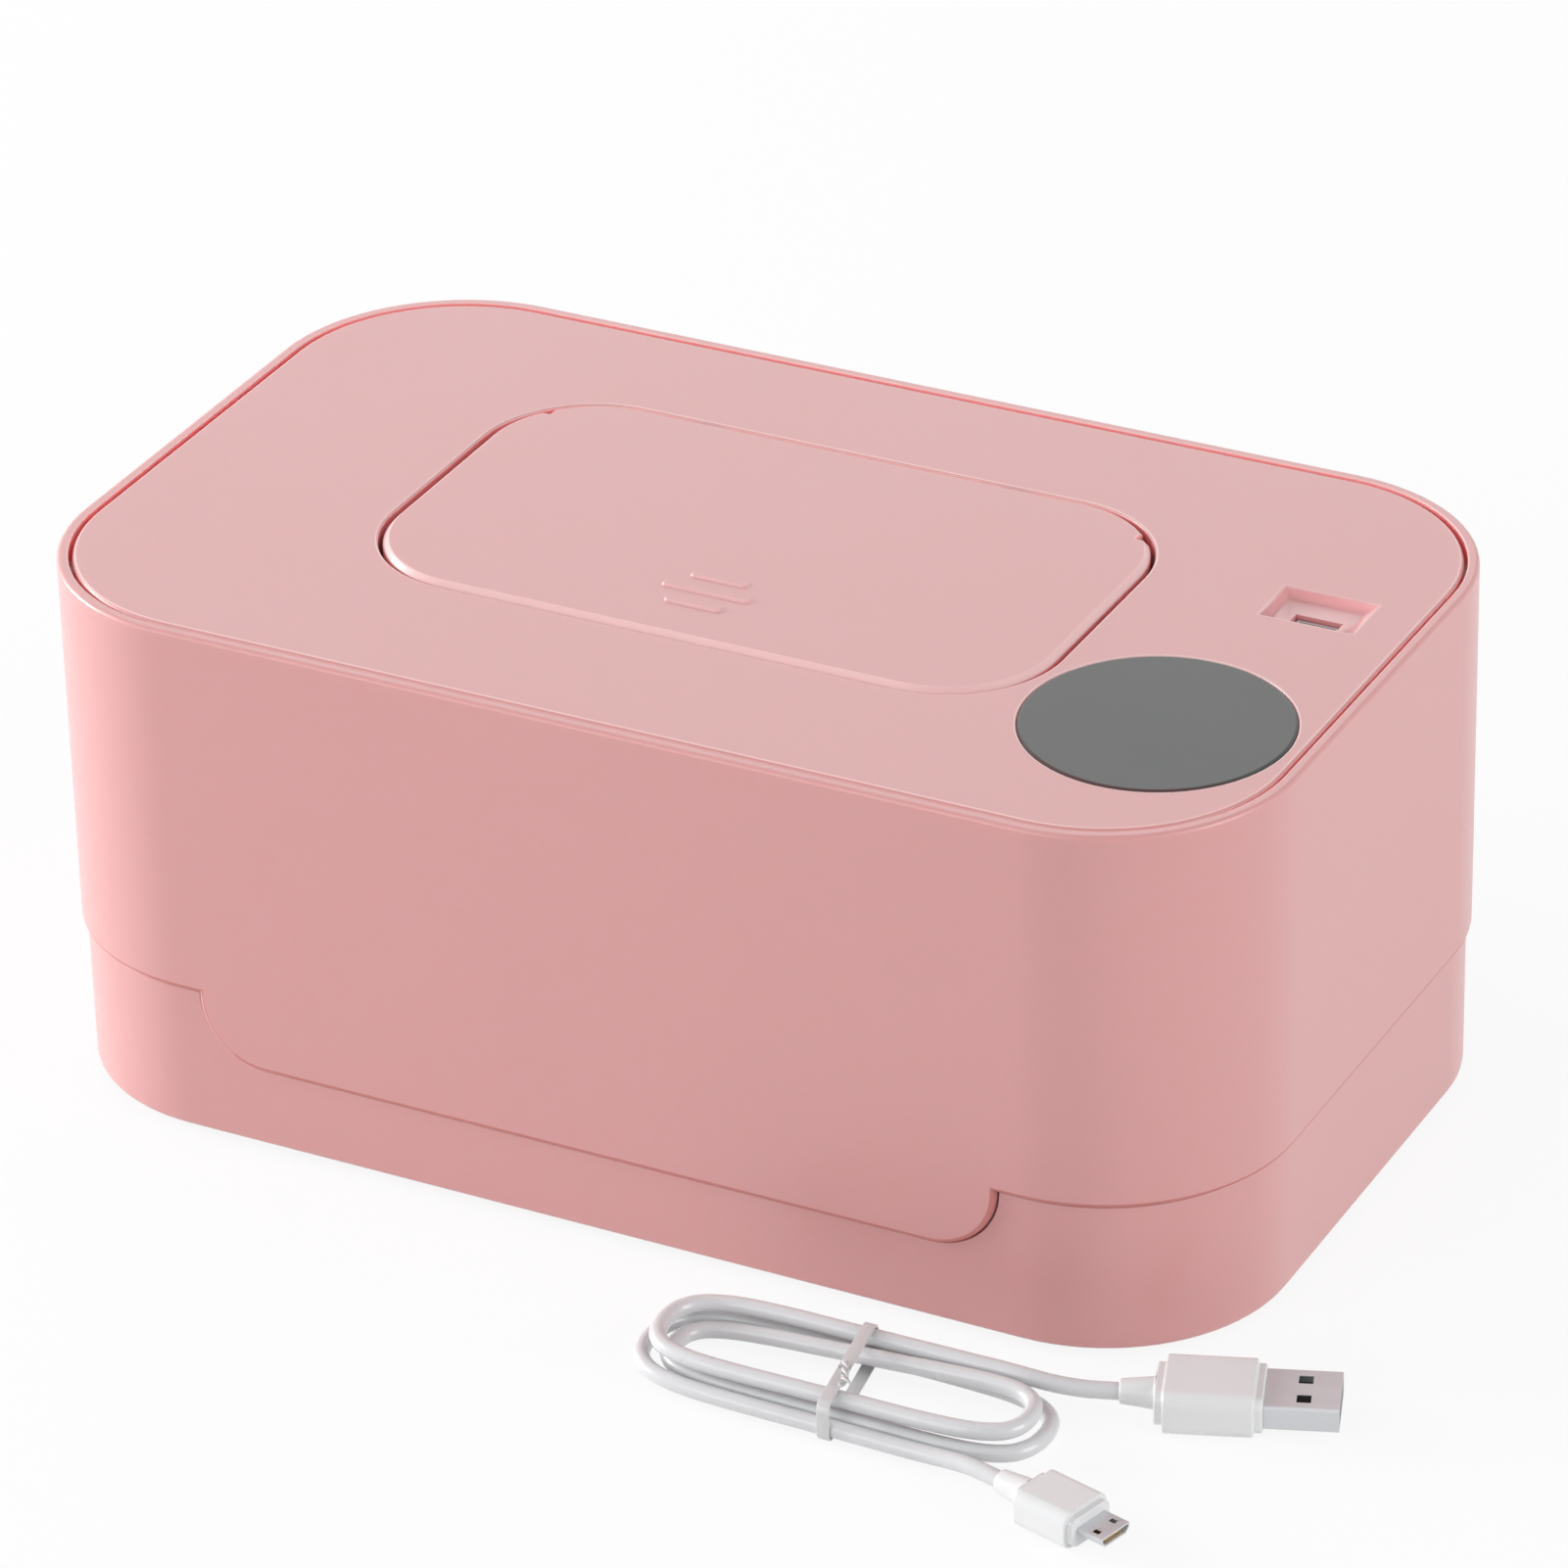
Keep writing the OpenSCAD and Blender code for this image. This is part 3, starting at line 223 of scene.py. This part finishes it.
def piece(name, bm, body, slot, *replaced, angle=35):
    """A finished piece from a bmesh: smooth, but for edges over the angle in degrees,
    with normals weighted by area. It rides on body and stands for the replaced nodes."""
    mesh = bpy.data.meshes.new(name)
    bmesh.ops.recalc_face_normals(bm, faces=bm.faces)
    bm.to_mesh(mesh)
    bm.free()
    obj = bpy.data.objects.new(name, mesh)
    SCENE.collection.objects.link(obj)
    mesh.materials.append(MATS[slot])
    mesh.polygons.foreach_set("use_smooth", [True] * len(mesh.polygons))
    mesh.set_sharp_from_angle(angle=math.radians(angle))
    weighted = obj.modifiers.new("weighted", "WEIGHTED_NORMAL")
    weighted.keep_sharp = True
    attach(obj, body)
    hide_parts(*replaced)
    return obj


def refined(name, node, body, rounds, walls=None):
    """A copy of a CAD node's mesh with its edges rounded. rounds is a list of
    (radius, segments, test, look): the radius is in millimetres, test(a, b) says
    whether the edge a-b is rounded, and look is the rounding's own material, None, or a
    function that gives one for a face; the looks used here are painted highlights and
    painted shadows. Where walls(centre, normal) is true of a face, it takes the gaps'
    deep pink, painted bounce light."""
    bm = bmesh.new()
    bm.from_mesh(NODES[node].data)
    bmesh.ops.remove_doubles(bm, verts=bm.verts, dist=MERGE_WITHIN)
    bmesh.ops.dissolve_limit(bm, angle_limit=FLAT_ANGLE, verts=bm.verts, edges=bm.edges)
    looks = [SLOT_OF[node]]

    def index(look):
        if look not in looks:
            looks.append(look)
        return looks.index(look)

    for radius, segments, test, look in rounds:
        chosen = [e for e in bm.edges if len(e.link_faces) == 2
                  and e.calc_face_angle(0) > EDGE_ANGLE
                  and test(e.verts[0].co, e.verts[1].co)]
        made = bmesh.ops.bevel(bm, geom=chosen, offset=radius * MM, offset_type="OFFSET",
                               segments=segments, profile=0.5, affect="EDGES",
                               clamp_overlap=False, miter_outer="ARC")
        for face in made["faces"] if look else ():
            face.material_index = index(look(face) if callable(look) else look)
    for face in bm.faces if walls else ():
        if walls(face.calc_center_median() / MM, face.normal):
            face.material_index = index("pink_painted_bounce_groove")
    bmesh.ops.dissolve_degenerate(bm, dist=MERGE_WITHIN, edges=bm.edges)
    obj = piece(name, bm, body, SLOT_OF[node], node)
    for look in looks[1:]:
        obj.data.materials.append(MATS[look])
    return obj


def anywhere(a, b):
    """Every edge."""
    return True


def above(z):
    """Edges wholly above a height."""
    return lambda a, b: min(a.z, b.z) > z * MM


def below(z):
    """Edges wholly below a height."""
    return lambda a, b: max(a.z, b.z) < z * MM


def depth(p, length, width, radius):
    """How far in millimetres a point lies inside a rounded rectangle, seen from above."""
    x = max(0.0, abs(p.x) / MM - length / 2 + radius)
    y = max(0.0, abs(p.y) / MM - width / 2 + radius)
    if x == 0 and y == 0:
        return min(length / 2 - abs(p.x) / MM, width / 2 - abs(p.y) / MM)
    return radius - math.hypot(x, y)


def outside(test, length, width, radius):
    """Edges that pass test and lie on the outline of a rounded rectangle."""
    return lambda a, b: test(a, b) and max(
        depth(a, length, width, radius), depth(b, length, width, radius)) < ON_OUTLINE


def within(low, high, foot):
    """Edges between two corners, seen from above, and higher up than foot."""
    return lambda a, b: all(low[0] < p.x / MM < high[0] and low[1] < p.y / MM < high[1]
                            and p.z / MM > foot for p in (a, b))


# ---- power lead ------------------------------------------------------------------
# The route is the one that the part's source gives: an end, the hank, the other end.
CORD_D = 3.0
CORD_SIDES = 5  # resolution of the cord's round section
PATH_PARTS = 5  # drawn steps to each step of the route
HANK_POS = (62, -94)
HANK_RUN = 45
HANK_IN = 9.4
HANK_PITCH = 4.7
HANK_WAIST = 0.24
HANK_START = 283
HANK_TURNS = 2.6
HANK_TURN_AT = 1.536  # here the winding turns from inwards to outwards and climbs
HANK_TURN_EASE = 0.1
HANK_CLIMB = 0.3  # of a turn, from the lower layer to the upper one
HANK_STEPS = 62
CORD_Z = 2.2
LAYER_Z = 3.5
LEAD_A = [(83, -83.3, 5.7), (86, -83.3, 5.7), (89, -83.1, 5.5), (92, -82.5, 5),
          (95, -81.6, 4.5), (98, -80.5, 4.1), (100.8, -79.5, 4), (103.6, -78.5, 4)]
LEAD_B = [(76.1, -106.4, 2.2), (79.1, -106.4, 2.2), (82, -106.5, 2.3), (85, -106.8, 2.6),
          (88, -107.3, 3), (91, -108, 3.3), (94, -108.8, 3.4), (97, -109.6, 3.4)]


def hank_point(t):
    """The middle of the wound cord after t turns."""
    a = math.radians(HANK_START - 360 * t)
    past = t - HANK_TURN_AT
    b = HANK_IN + HANK_PITCH * (math.hypot(past, HANK_TURN_EASE) - HANK_TURN_EASE)
    u = math.cos(a)
    rise = max(0.0, min(1.0, past / HANK_CLIMB + 0.5))
    return (HANK_POS[0] + b * u + HANK_RUN / 2 * (3 * u - u ** 3) / 2,
            HANK_POS[1] + b * math.sin(a) * (1 - HANK_WAIST * math.sin(a) ** 4),
            CORD_Z + LAYER_Z * rise * rise * (3 - 2 * rise))


def smooth_path(points, parts):
    """Catmull-Rom points through the given ones, with that many parts to each step."""
    p = [np.array(q, float) for q in points]
    p = [2 * p[0] - p[1]] + p + [2 * p[-1] - p[-2]]
    out = []
    for i in range(1, len(p) - 2):
        for k in range(parts):
            t = k / parts
            out.append(0.5 * (2 * p[i] + (p[i + 1] - p[i - 1]) * t
                              + (2 * p[i - 1] - 5 * p[i] + 4 * p[i + 1] - p[i + 2]) * t ** 2
                              + (3 * p[i] - p[i - 1] - 3 * p[i + 1] + p[i + 2]) * t ** 3))
    return out + [p[-2]]


route = LEAD_B[::-1] + [hank_point(HANK_TURNS * i / HANK_STEPS)
                        for i in range(HANK_STEPS + 1)] + LEAD_A
route = [q * MM for q in smooth_path(route[::-1], PATH_PARTS)]
lead_length = sum(float(np.linalg.norm(b - a)) for a, b in zip(route, route[1:]))
cord_curve = bpy.data.curves.new("power_lead", "CURVE")
cord_curve.dimensions = "3D"
cord_curve.bevel_depth = CORD_D / 2 * MM
cord_curve.bevel_resolution = CORD_SIDES
cord_curve.use_fill_caps = True
spline = cord_curve.splines.new("POLY")
spline.points.add(len(route) - 1)
for spot, q in zip(spline.points, route):
    spot.co = (*q, 1)
spline.use_smooth = True
cord_curve.materials.append(MATS["cord_white"])
power_lead = bpy.data.objects.new("power_lead", cord_curve)
SCENE.collection.objects.link(power_lead)
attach(power_lead, "base")
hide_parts("cable_hank", "cable_lead_a", "cable_lead_b")

# The tie: a strip round the hank's waist, with a pair of twisted tails on top.
TIE_WIDTH, TIE_THICK = 2.3, 0.5
TIE_CORNER = 1.9
TIE_CORNER_STEPS = 6
TIE_SLACK = 0.2  # between the runs of cord and the strip
TIE_SIDE, TIE_TOP = 0.3, 0.6  # the strip's middle from the slack, at its side and top
TIE_BOTTOM = 0.3  # height of the strip's middle over the table, where it passes below
# y and height, from the loop's top, of its first two points and its last, which nearly
# meet under the twisted tails
TIE_ENDS = ((-1.6, 0.05), (2, 0.05), (-2.2, 0))
TIE_LEAN, TIE_LEAN_AT = -0.15, -1  # how far it leans along X for each Y, and from where
TWIST_AT, TWIST_HEIGHT = -1, 1.15  # where the tails start: along Y, and over the height
TWIST_HEADING = math.radians(25)
TWIST_LENGTH, TWIST_RADIUS, TWIST_SPLAY = 6.8, 0.42, 0.5
TWIST_STEPS, TWIST_STEP = 36, 15  # steps along a tail, and the degrees of each
SPLAY_STEPS = 6  # the last ones, over which the tails spread
TAIL_WIDTH, TAIL_THICK = 0.8, 0.4
STRIP_CHAMFER = 0.3  # of its thickness


def strip(bm, path, ups, width, thick):
    """Adds a flat strip along path to bm: ups point out of its flat side."""
    last = len(path) - 1
    w, t, c = width / 2, thick / 2, thick * STRIP_CHAMFER
    section = [(w, -t + c), (w, t - c), (w - c, t), (-w + c, t), (-w, t - c),
               (-w, -t + c), (-w + c, -t), (w - c, -t)]
    rings = []
    for i, (p, up) in enumerate(zip(path, ups)):
        ahead = (Vector(path[min(i + 1, last)]) - Vector(path[max(i - 1, 0)])).normalized()
        side = ahead.cross(Vector(up).normalized()).normalized()
        up = side.cross(ahead)
        rings.append([bm.verts.new(Vector(p) + side * a + up * b) for a, b in section])
    for r, s in zip(rings, rings[1:]):
        for k in range(len(section)):
            after = (k + 1) % len(section)
            bm.faces.new((r[k], r[after], s[after], s[k]))
    bm.faces.new(rings[0])
    bm.faces.new(rings[-1][::-1])


def tie_mesh():
    """The tie's loop and its two twisted tails."""
    # where the hank's outermost runs pass its waist, in the first turn and in the third
    waist = [hank_point((HANK_START - 270) / 360)[1],
             hank_point((HANK_START + 630) / 360)[1]]
    mid = sum(waist) / 2
    half_y = (waist[1] - waist[0] + CORD_D + TIE_SLACK) / 2 + TIE_SIDE
    height = LAYER_Z + CORD_D + TIE_SLACK + TIE_TOP
    bm = bmesh.new()
    path, ups = [], []
    side, top = half_y - TIE_CORNER, height - TIE_CORNER
    for cy, cz, start in ((side, top, 90), (side, TIE_CORNER, 0),
                          (-side, TIE_CORNER, -90), (-side, top, -180)):
        for k in range(TIE_CORNER_STEPS + 1):
            a = math.radians(start - 90 / TIE_CORNER_STEPS * k)
            path.append((0, cy + TIE_CORNER * math.cos(a), cz + TIE_CORNER * math.sin(a)))
            ups.append((0, math.cos(a), math.sin(a)))
    ends = [(0, y, height + z) for y, z in TIE_ENDS]
    path = ends[:2] + path + ends[2:]
    ups = [(0, 0, 1)] * 2 + ups + [(0, 0, 1)]
    place = [((HANK_POS[0] + x + TIE_LEAN * (y - TIE_LEAN_AT)) * MM, (mid + y) * MM,
              (z + TIE_BOTTOM) * MM) for x, y, z in path]
    strip(bm, place, ups, TIE_WIDTH * MM, TIE_THICK * MM)
    way = Vector((math.sin(TWIST_HEADING), -math.cos(TWIST_HEADING), 0))
    across = Vector((way.y, -way.x, 0))
    root = Vector((HANK_POS[0], mid + TWIST_AT, height + TWIST_HEIGHT))
    for phase in (0, 180):
        tail, out = [], []
        for k in range(TWIST_STEPS + 1):
            a = math.radians(phase + TWIST_STEP * k)
            splay = max(0, k - TWIST_STEPS + SPLAY_STEPS) / SPLAY_STEPS
            radial = across * math.cos(a) + Vector((0, 0, 1)) * math.sin(a)
            tail.append((root + way * (TWIST_LENGTH * k / TWIST_STEPS)
                         + radial * (TWIST_RADIUS + TWIST_SPLAY * splay)) * MM)
            out.append(radial)
        strip(bm, tail, out, TAIL_WIDTH * MM, TAIL_THICK * MM)
    return bm


hank_tie = piece("hank_tie", tie_mesh(), "base", "tie_plastic", "cable_tie", angle=50)

plug_parts = [refined(name, node, "base", [(radius, 3, anywhere, None)])
              for name, node, radius in (
                  ("usb_plug_body", "usb_a_overmold", 0.35),
                  ("usb_plug_shell", "usb_a_shell", 0.08),
                  ("micro_plug_body", "micro_overmold", 0.12),
                  ("micro_plug_shell", "micro_shell", 0.05))]

tuple(route[0])

# ---- casing, top panel, flap and base --------------------------------------------
# Outlines as length, width and corner radius; the tests of edges and faces use heights
# and places that lie a little beside the shapes that they pick.
LENGTH, WIDTH, CORNER = 230, 138, 34.3
RIM_WALL = 2
BASE_LENGTH, BASE_WIDTH, BASE_CORNER = 228.1, 136.1, 33.4
FLAP_LENGTH, FLAP_WIDTH, FLAP_CORNER = 126.3, 73.2, 20.4
FLAP_MIDDLE = Vector((-1.1, 2.3, 0))
FLAP_TOP = 100.4
TOP, TOP_EDGES = 99.9, 99  # just below the panel's top, and below its edges' slopes
GAP_FOOT = 94.8  # just below the gaps round the panel and round the flap
SEAM_OF_COVER = 31  # just above the cover's lower edge
SEAM_OF_BASE = 29.6  # just above the edge of the base that meets it
LENS_MIDDLE = Vector((86.7, -27.4))
LENS_SEAT = (22, 24)  # between these radii lies the edge of the lens's seat
LENS_GROW = 1.008  # the lens nearly fills its seat, as in the photograph
RECESS_LOW, RECESS_HIGH = (84, 13), (106, 27)  # its corners, seen from above
RECESS_FLOOR = (98, 98.5)  # between these heights lies its floor
CASING_FACE = 1.2  # the casing's outer faces lie less deep than this in its outline
FLAP_RIM = 1.5  # the flap's rim lies less deep than this in the flap's outline
SKIRT_CURVE = (-77.5, -60)  # where the skirt's left-hand curves lie along X
SKIRT_FACE = 67  # the long sides lie further out than this
UPRIGHT, LEVEL = 0.5, 0.85  # upright and level faces by the height of their normals
SLOPE = (0.3, 0.97)  # and the faces of the flap's sloping edge
FACING = 0.3  # a face that looks to one side has a normal that goes this far there
recess_rim = within(RECESS_LOW, RECESS_HIGH, TOP)


def lens_seat(a, b):
    """Edges of the hole that the display lens sits in, at the panel's top."""
    return above(TOP)(a, b) and all(
        LENS_SEAT[0] < (Vector(p.xy) / MM - LENS_MIDDLE).length < LENS_SEAT[1]
        for p in (a, b))


def panel_edges(a, b):
    """The panel's outline and its flap opening, without the recess and the lens seat."""
    return (above(TOP_EDGES)(a, b) and not lens_seat(a, b)
            and not within(RECESS_LOW, RECESS_HIGH, TOP_EDGES)(a, b))


def flap_slope_foot(a, b):
    """The lower edge of the flap's sloping edge."""
    return above(TOP_EDGES)(a, b) and below(FLAP_TOP - 0.01)(a, b)


def in_recess(p):
    return (RECESS_LOW[0] < p.x < RECESS_HIGH[0] and RECESS_LOW[1] < p.y < RECESS_HIGH[1])


# The faces that in_gap and flap_rim pick get the deep pink of painted bounce light.
def in_gap(centre, normal):
    """Upright faces in the narrow gaps of the top: round the panel and round the flap."""
    return (abs(normal.z) < UPRIGHT and centre.z > GAP_FOOT and not in_recess(centre)
            and depth(centre * MM, LENGTH, WIDTH, CORNER) > CASING_FACE)


def flap_rim(centre, normal):
    """Upright faces on the flap's own outline, and none of those inside it."""
    return in_gap(centre, normal) and depth(
        (centre - FLAP_MIDDLE) * MM, FLAP_LENGTH, FLAP_WIDTH, FLAP_CORNER) < FLAP_RIM


def flap_slope(centre, normal):
    return SLOPE[0] < normal.z < SLOPE[1] and TOP_EDGES < centre.z < FLAP_TOP + 0.05


# recess_wall picks faces for painted bounce light, recess_floor faces for a painted
# highlight.
def recess_wall(centre, normal):
    return in_recess(centre) and centre.z > GAP_FOOT and abs(normal.z) < LEVEL


def recess_floor(centre, normal):
    return (in_recess(centre) and normal.z > LEVEL
            and RECESS_FLOOR[0] < centre.z < RECESS_FLOOR[1])


def repaint(obj, look, test):
    """The faces that test(centre, normal) picks take the material look."""
    slots = obj.data.materials
    if MATS[look].name not in slots:
        slots.append(MATS[look])
    for face in obj.data.polygons:
        if test(face.center / MM, face.normal):
            face.material_index = slots.find(MATS[look].name)


def skirt_look(face):
    """The cover's lower edge: a painted highlight on the skirt's left-hand curves, a painted
    shadow in the seam.
    """
    centre = face.calc_center_median() / MM
    curve = SKIRT_CURVE[0] < centre.x < SKIRT_CURVE[1] and abs(centre.y) > SKIRT_FACE
    return "pink_painted_highlight" if curve and face.normal.x < -FACING else "pink_painted_shadow"


def lens_look(face):
    """The lens's rounding: painted shadow, dark maroon, where it faces the front; plain lens
    grey elsewhere.
    """
    return "lens_painted_shadow" if face.normal.y < -FACING else "lens"


# Painted light: a painted highlight on the rim's top edge and the skirt's left-hand curves,
# painted shadow in the seam under the skirt, and painted bounce light on the gap walls.
refined("casing_skin", "cover_casing", "cover",
        [(0.9, 4, outside(below(SEAM_OF_COVER), LENGTH, WIDTH, CORNER), skirt_look),
         (0.2, 2, outside(above(TOP_EDGES), LENGTH - 2 * RIM_WALL,
                          WIDTH - 2 * RIM_WALL, CORNER - RIM_WALL), "pink_painted_highlight")],
        walls=in_gap)
# Painted light: painted highlights on the recess's rim and floor, on the lens seat's edge and
# on the panel's edges; painted bounce light on the recess's walls and on the gap walls.
panel = refined("panel_skin", "top_panel", "cover",
                [(0.45, 3, recess_rim, "pink_painted_soft_highlight"),
                 (0.4, 3, lens_seat, "pink_painted_highlight"),
                 (0.16, 2, panel_edges, "pink_painted_highlight")], walls=in_gap)
repaint(panel, "pink_painted_bounce_wall", recess_wall)
repaint(panel, "pink_painted_soft_highlight", recess_floor)
# Painted light: painted highlights on the flap's top edge and its sloping edge, painted
# bounce light on the walls of its rim.
flap_skin = refined("flap_skin", "flap", "flap",
                    [(0.2, 3, above(FLAP_TOP - 0.02), "pink_painted_soft_highlight"),
                     (0.25, 3, flap_slope_foot, "pink_painted_highlight")], walls=flap_rim)
repaint(flap_skin, "pink_painted_highlight", flap_slope)
refined("base_skin", "base_shell", "base",
        [(0.3, 3, outside(below(SEAM_OF_BASE), BASE_LENGTH, BASE_WIDTH, BASE_CORNER),
          None)])
# Painted shadow, dark maroon, on the front of the lens's rounding.
lens_skin = refined("lens_skin", "display_lens", "cover",
                    [(0.3, 3, above(TOP), lens_look)])
for vertex in lens_skin.data.vertices:
    vertex.co.xy = (LENS_MIDDLE * (1 - LENS_GROW)) * MM + vertex.co.xy * LENS_GROW

# The four springs shorten as the platform is pressed down; here they only get a mesh of their
# own.
springs = refined("lift_springs_skin", "lift_springs", "base", [])
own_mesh(springs)

# ---- light, floor and backdrop ---------------------------------------------------
WORLD_LEVEL = 0.5
FLOOR_SIZE = 6.0
FLOOR_DROP = 0.2 * MM
FLOOR_GREY = 0.86
FLOOR_GLOW = 0.88  # how much of what the camera sees of the floor is plain white
WHITE = (1, 1, 1, 1)


def lamp(name, spot, aim, size, power):
    """A rectangular lamp at spot that faces aim, in metres and watts."""
    data = bpy.data.lights.new(name, "AREA")
    data.shape = "RECTANGLE"
    data.size, data.size_y = size
    data.energy = power
    obj = bpy.data.objects.new(name, data)
    SCENE.collection.objects.link(obj)
    obj.location = spot
    obj.rotation_euler = (Vector(aim) - Vector(spot)).to_track_quat("-Z", "Y").to_euler()
    obj.visible_camera = False


lamp("key_left", (-1.9, -0.3, 0.5), (0, 0, 0.05), (1.0, 0.8), 44)
lamp("fill_right", (1.8, -0.1, 0.65), (0, 0, 0.05), (1.0, 1.0), 16)
lamp("back_soft", (-0.8, 1.5, 1.0), (0, 0, 0.1), (1.6, 1.0), 4.5)
lamp("front_soft", (-0.6, -1.9, 0.9), (0, 0, 0.05), (1.4, 1.0), 10.5)


def seen_white(tree):
    """1 for rays from the camera, a mirror or glass, which see a white background."""
    path = tree.nodes.new("ShaderNodeLightPath")
    total = path.outputs["Is Camera Ray"]
    for ray in ("Is Glossy Ray", "Is Transmission Ray"):
        larger = tree.nodes.new("ShaderNodeMath")
        larger.operation = "MAXIMUM"
        tree.links.new(total, larger.inputs[0])
        tree.links.new(path.outputs[ray], larger.inputs[1])
        total = larger.outputs[0]
    return total


def white_glow(tree, kind, strength):
    """The output of a white Background or Emission node."""
    node = tree.nodes.new(kind)
    node.inputs["Color"].default_value = WHITE
    node.inputs["Strength"].default_value = strength
    return node.outputs[0]


def mixed(tree, factor, first, second):
    """The output of a Mix Shader node from first to second."""
    node = tree.nodes.new("ShaderNodeMixShader")
    for socket, source in zip(node.inputs, (factor, first, second)):
        tree.links.new(source, socket)
    return node.outputs[0]


world = bpy.data.worlds.new("studio")
SCENE.world = world
world.use_nodes = True
sky = world.node_tree
sky.nodes.clear()
sky.links.new(mixed(sky, seen_white(sky),
                    white_glow(sky, "ShaderNodeBackground", WORLD_LEVEL),
                    white_glow(sky, "ShaderNodeBackground", 1.0)),
              sky.nodes.new("ShaderNodeOutputWorld").inputs["Surface"])

floor_mat = bpy.data.materials.new("pale_floor")
floor_mat.use_nodes = True
ground = floor_mat.node_tree
ground.nodes.clear()
matt = ground.nodes.new("ShaderNodeBsdfDiffuse")
matt.inputs["Color"].default_value = (FLOOR_GREY, FLOOR_GREY, FLOOR_GREY, 1)
share = ground.nodes.new("ShaderNodeMath")
share.operation = "MULTIPLY"
share.inputs[1].default_value = FLOOR_GLOW
ground.links.new(seen_white(ground), share.inputs[0])
ground.links.new(mixed(ground, share.outputs[0], matt.outputs[0],
                       white_glow(ground, "ShaderNodeEmission", 1.0)),
                 ground.nodes.new("ShaderNodeOutputMaterial").inputs["Surface"])
half = FLOOR_SIZE / 2
floor_mesh = bpy.data.meshes.new("floor")
floor_mesh.from_pydata([(-half, -half, 0), (half, -half, 0), (half, half, 0),
                        (-half, half, 0)], [], [(0, 1, 2, 3)])
floor_mesh.materials.append(floor_mat)
floor = bpy.data.objects.new("floor", floor_mesh)
SCENE.collection.objects.link(floor)
floor.location.z = -FLOOR_DROP

SCENE.view_settings.view_transform = "Standard"
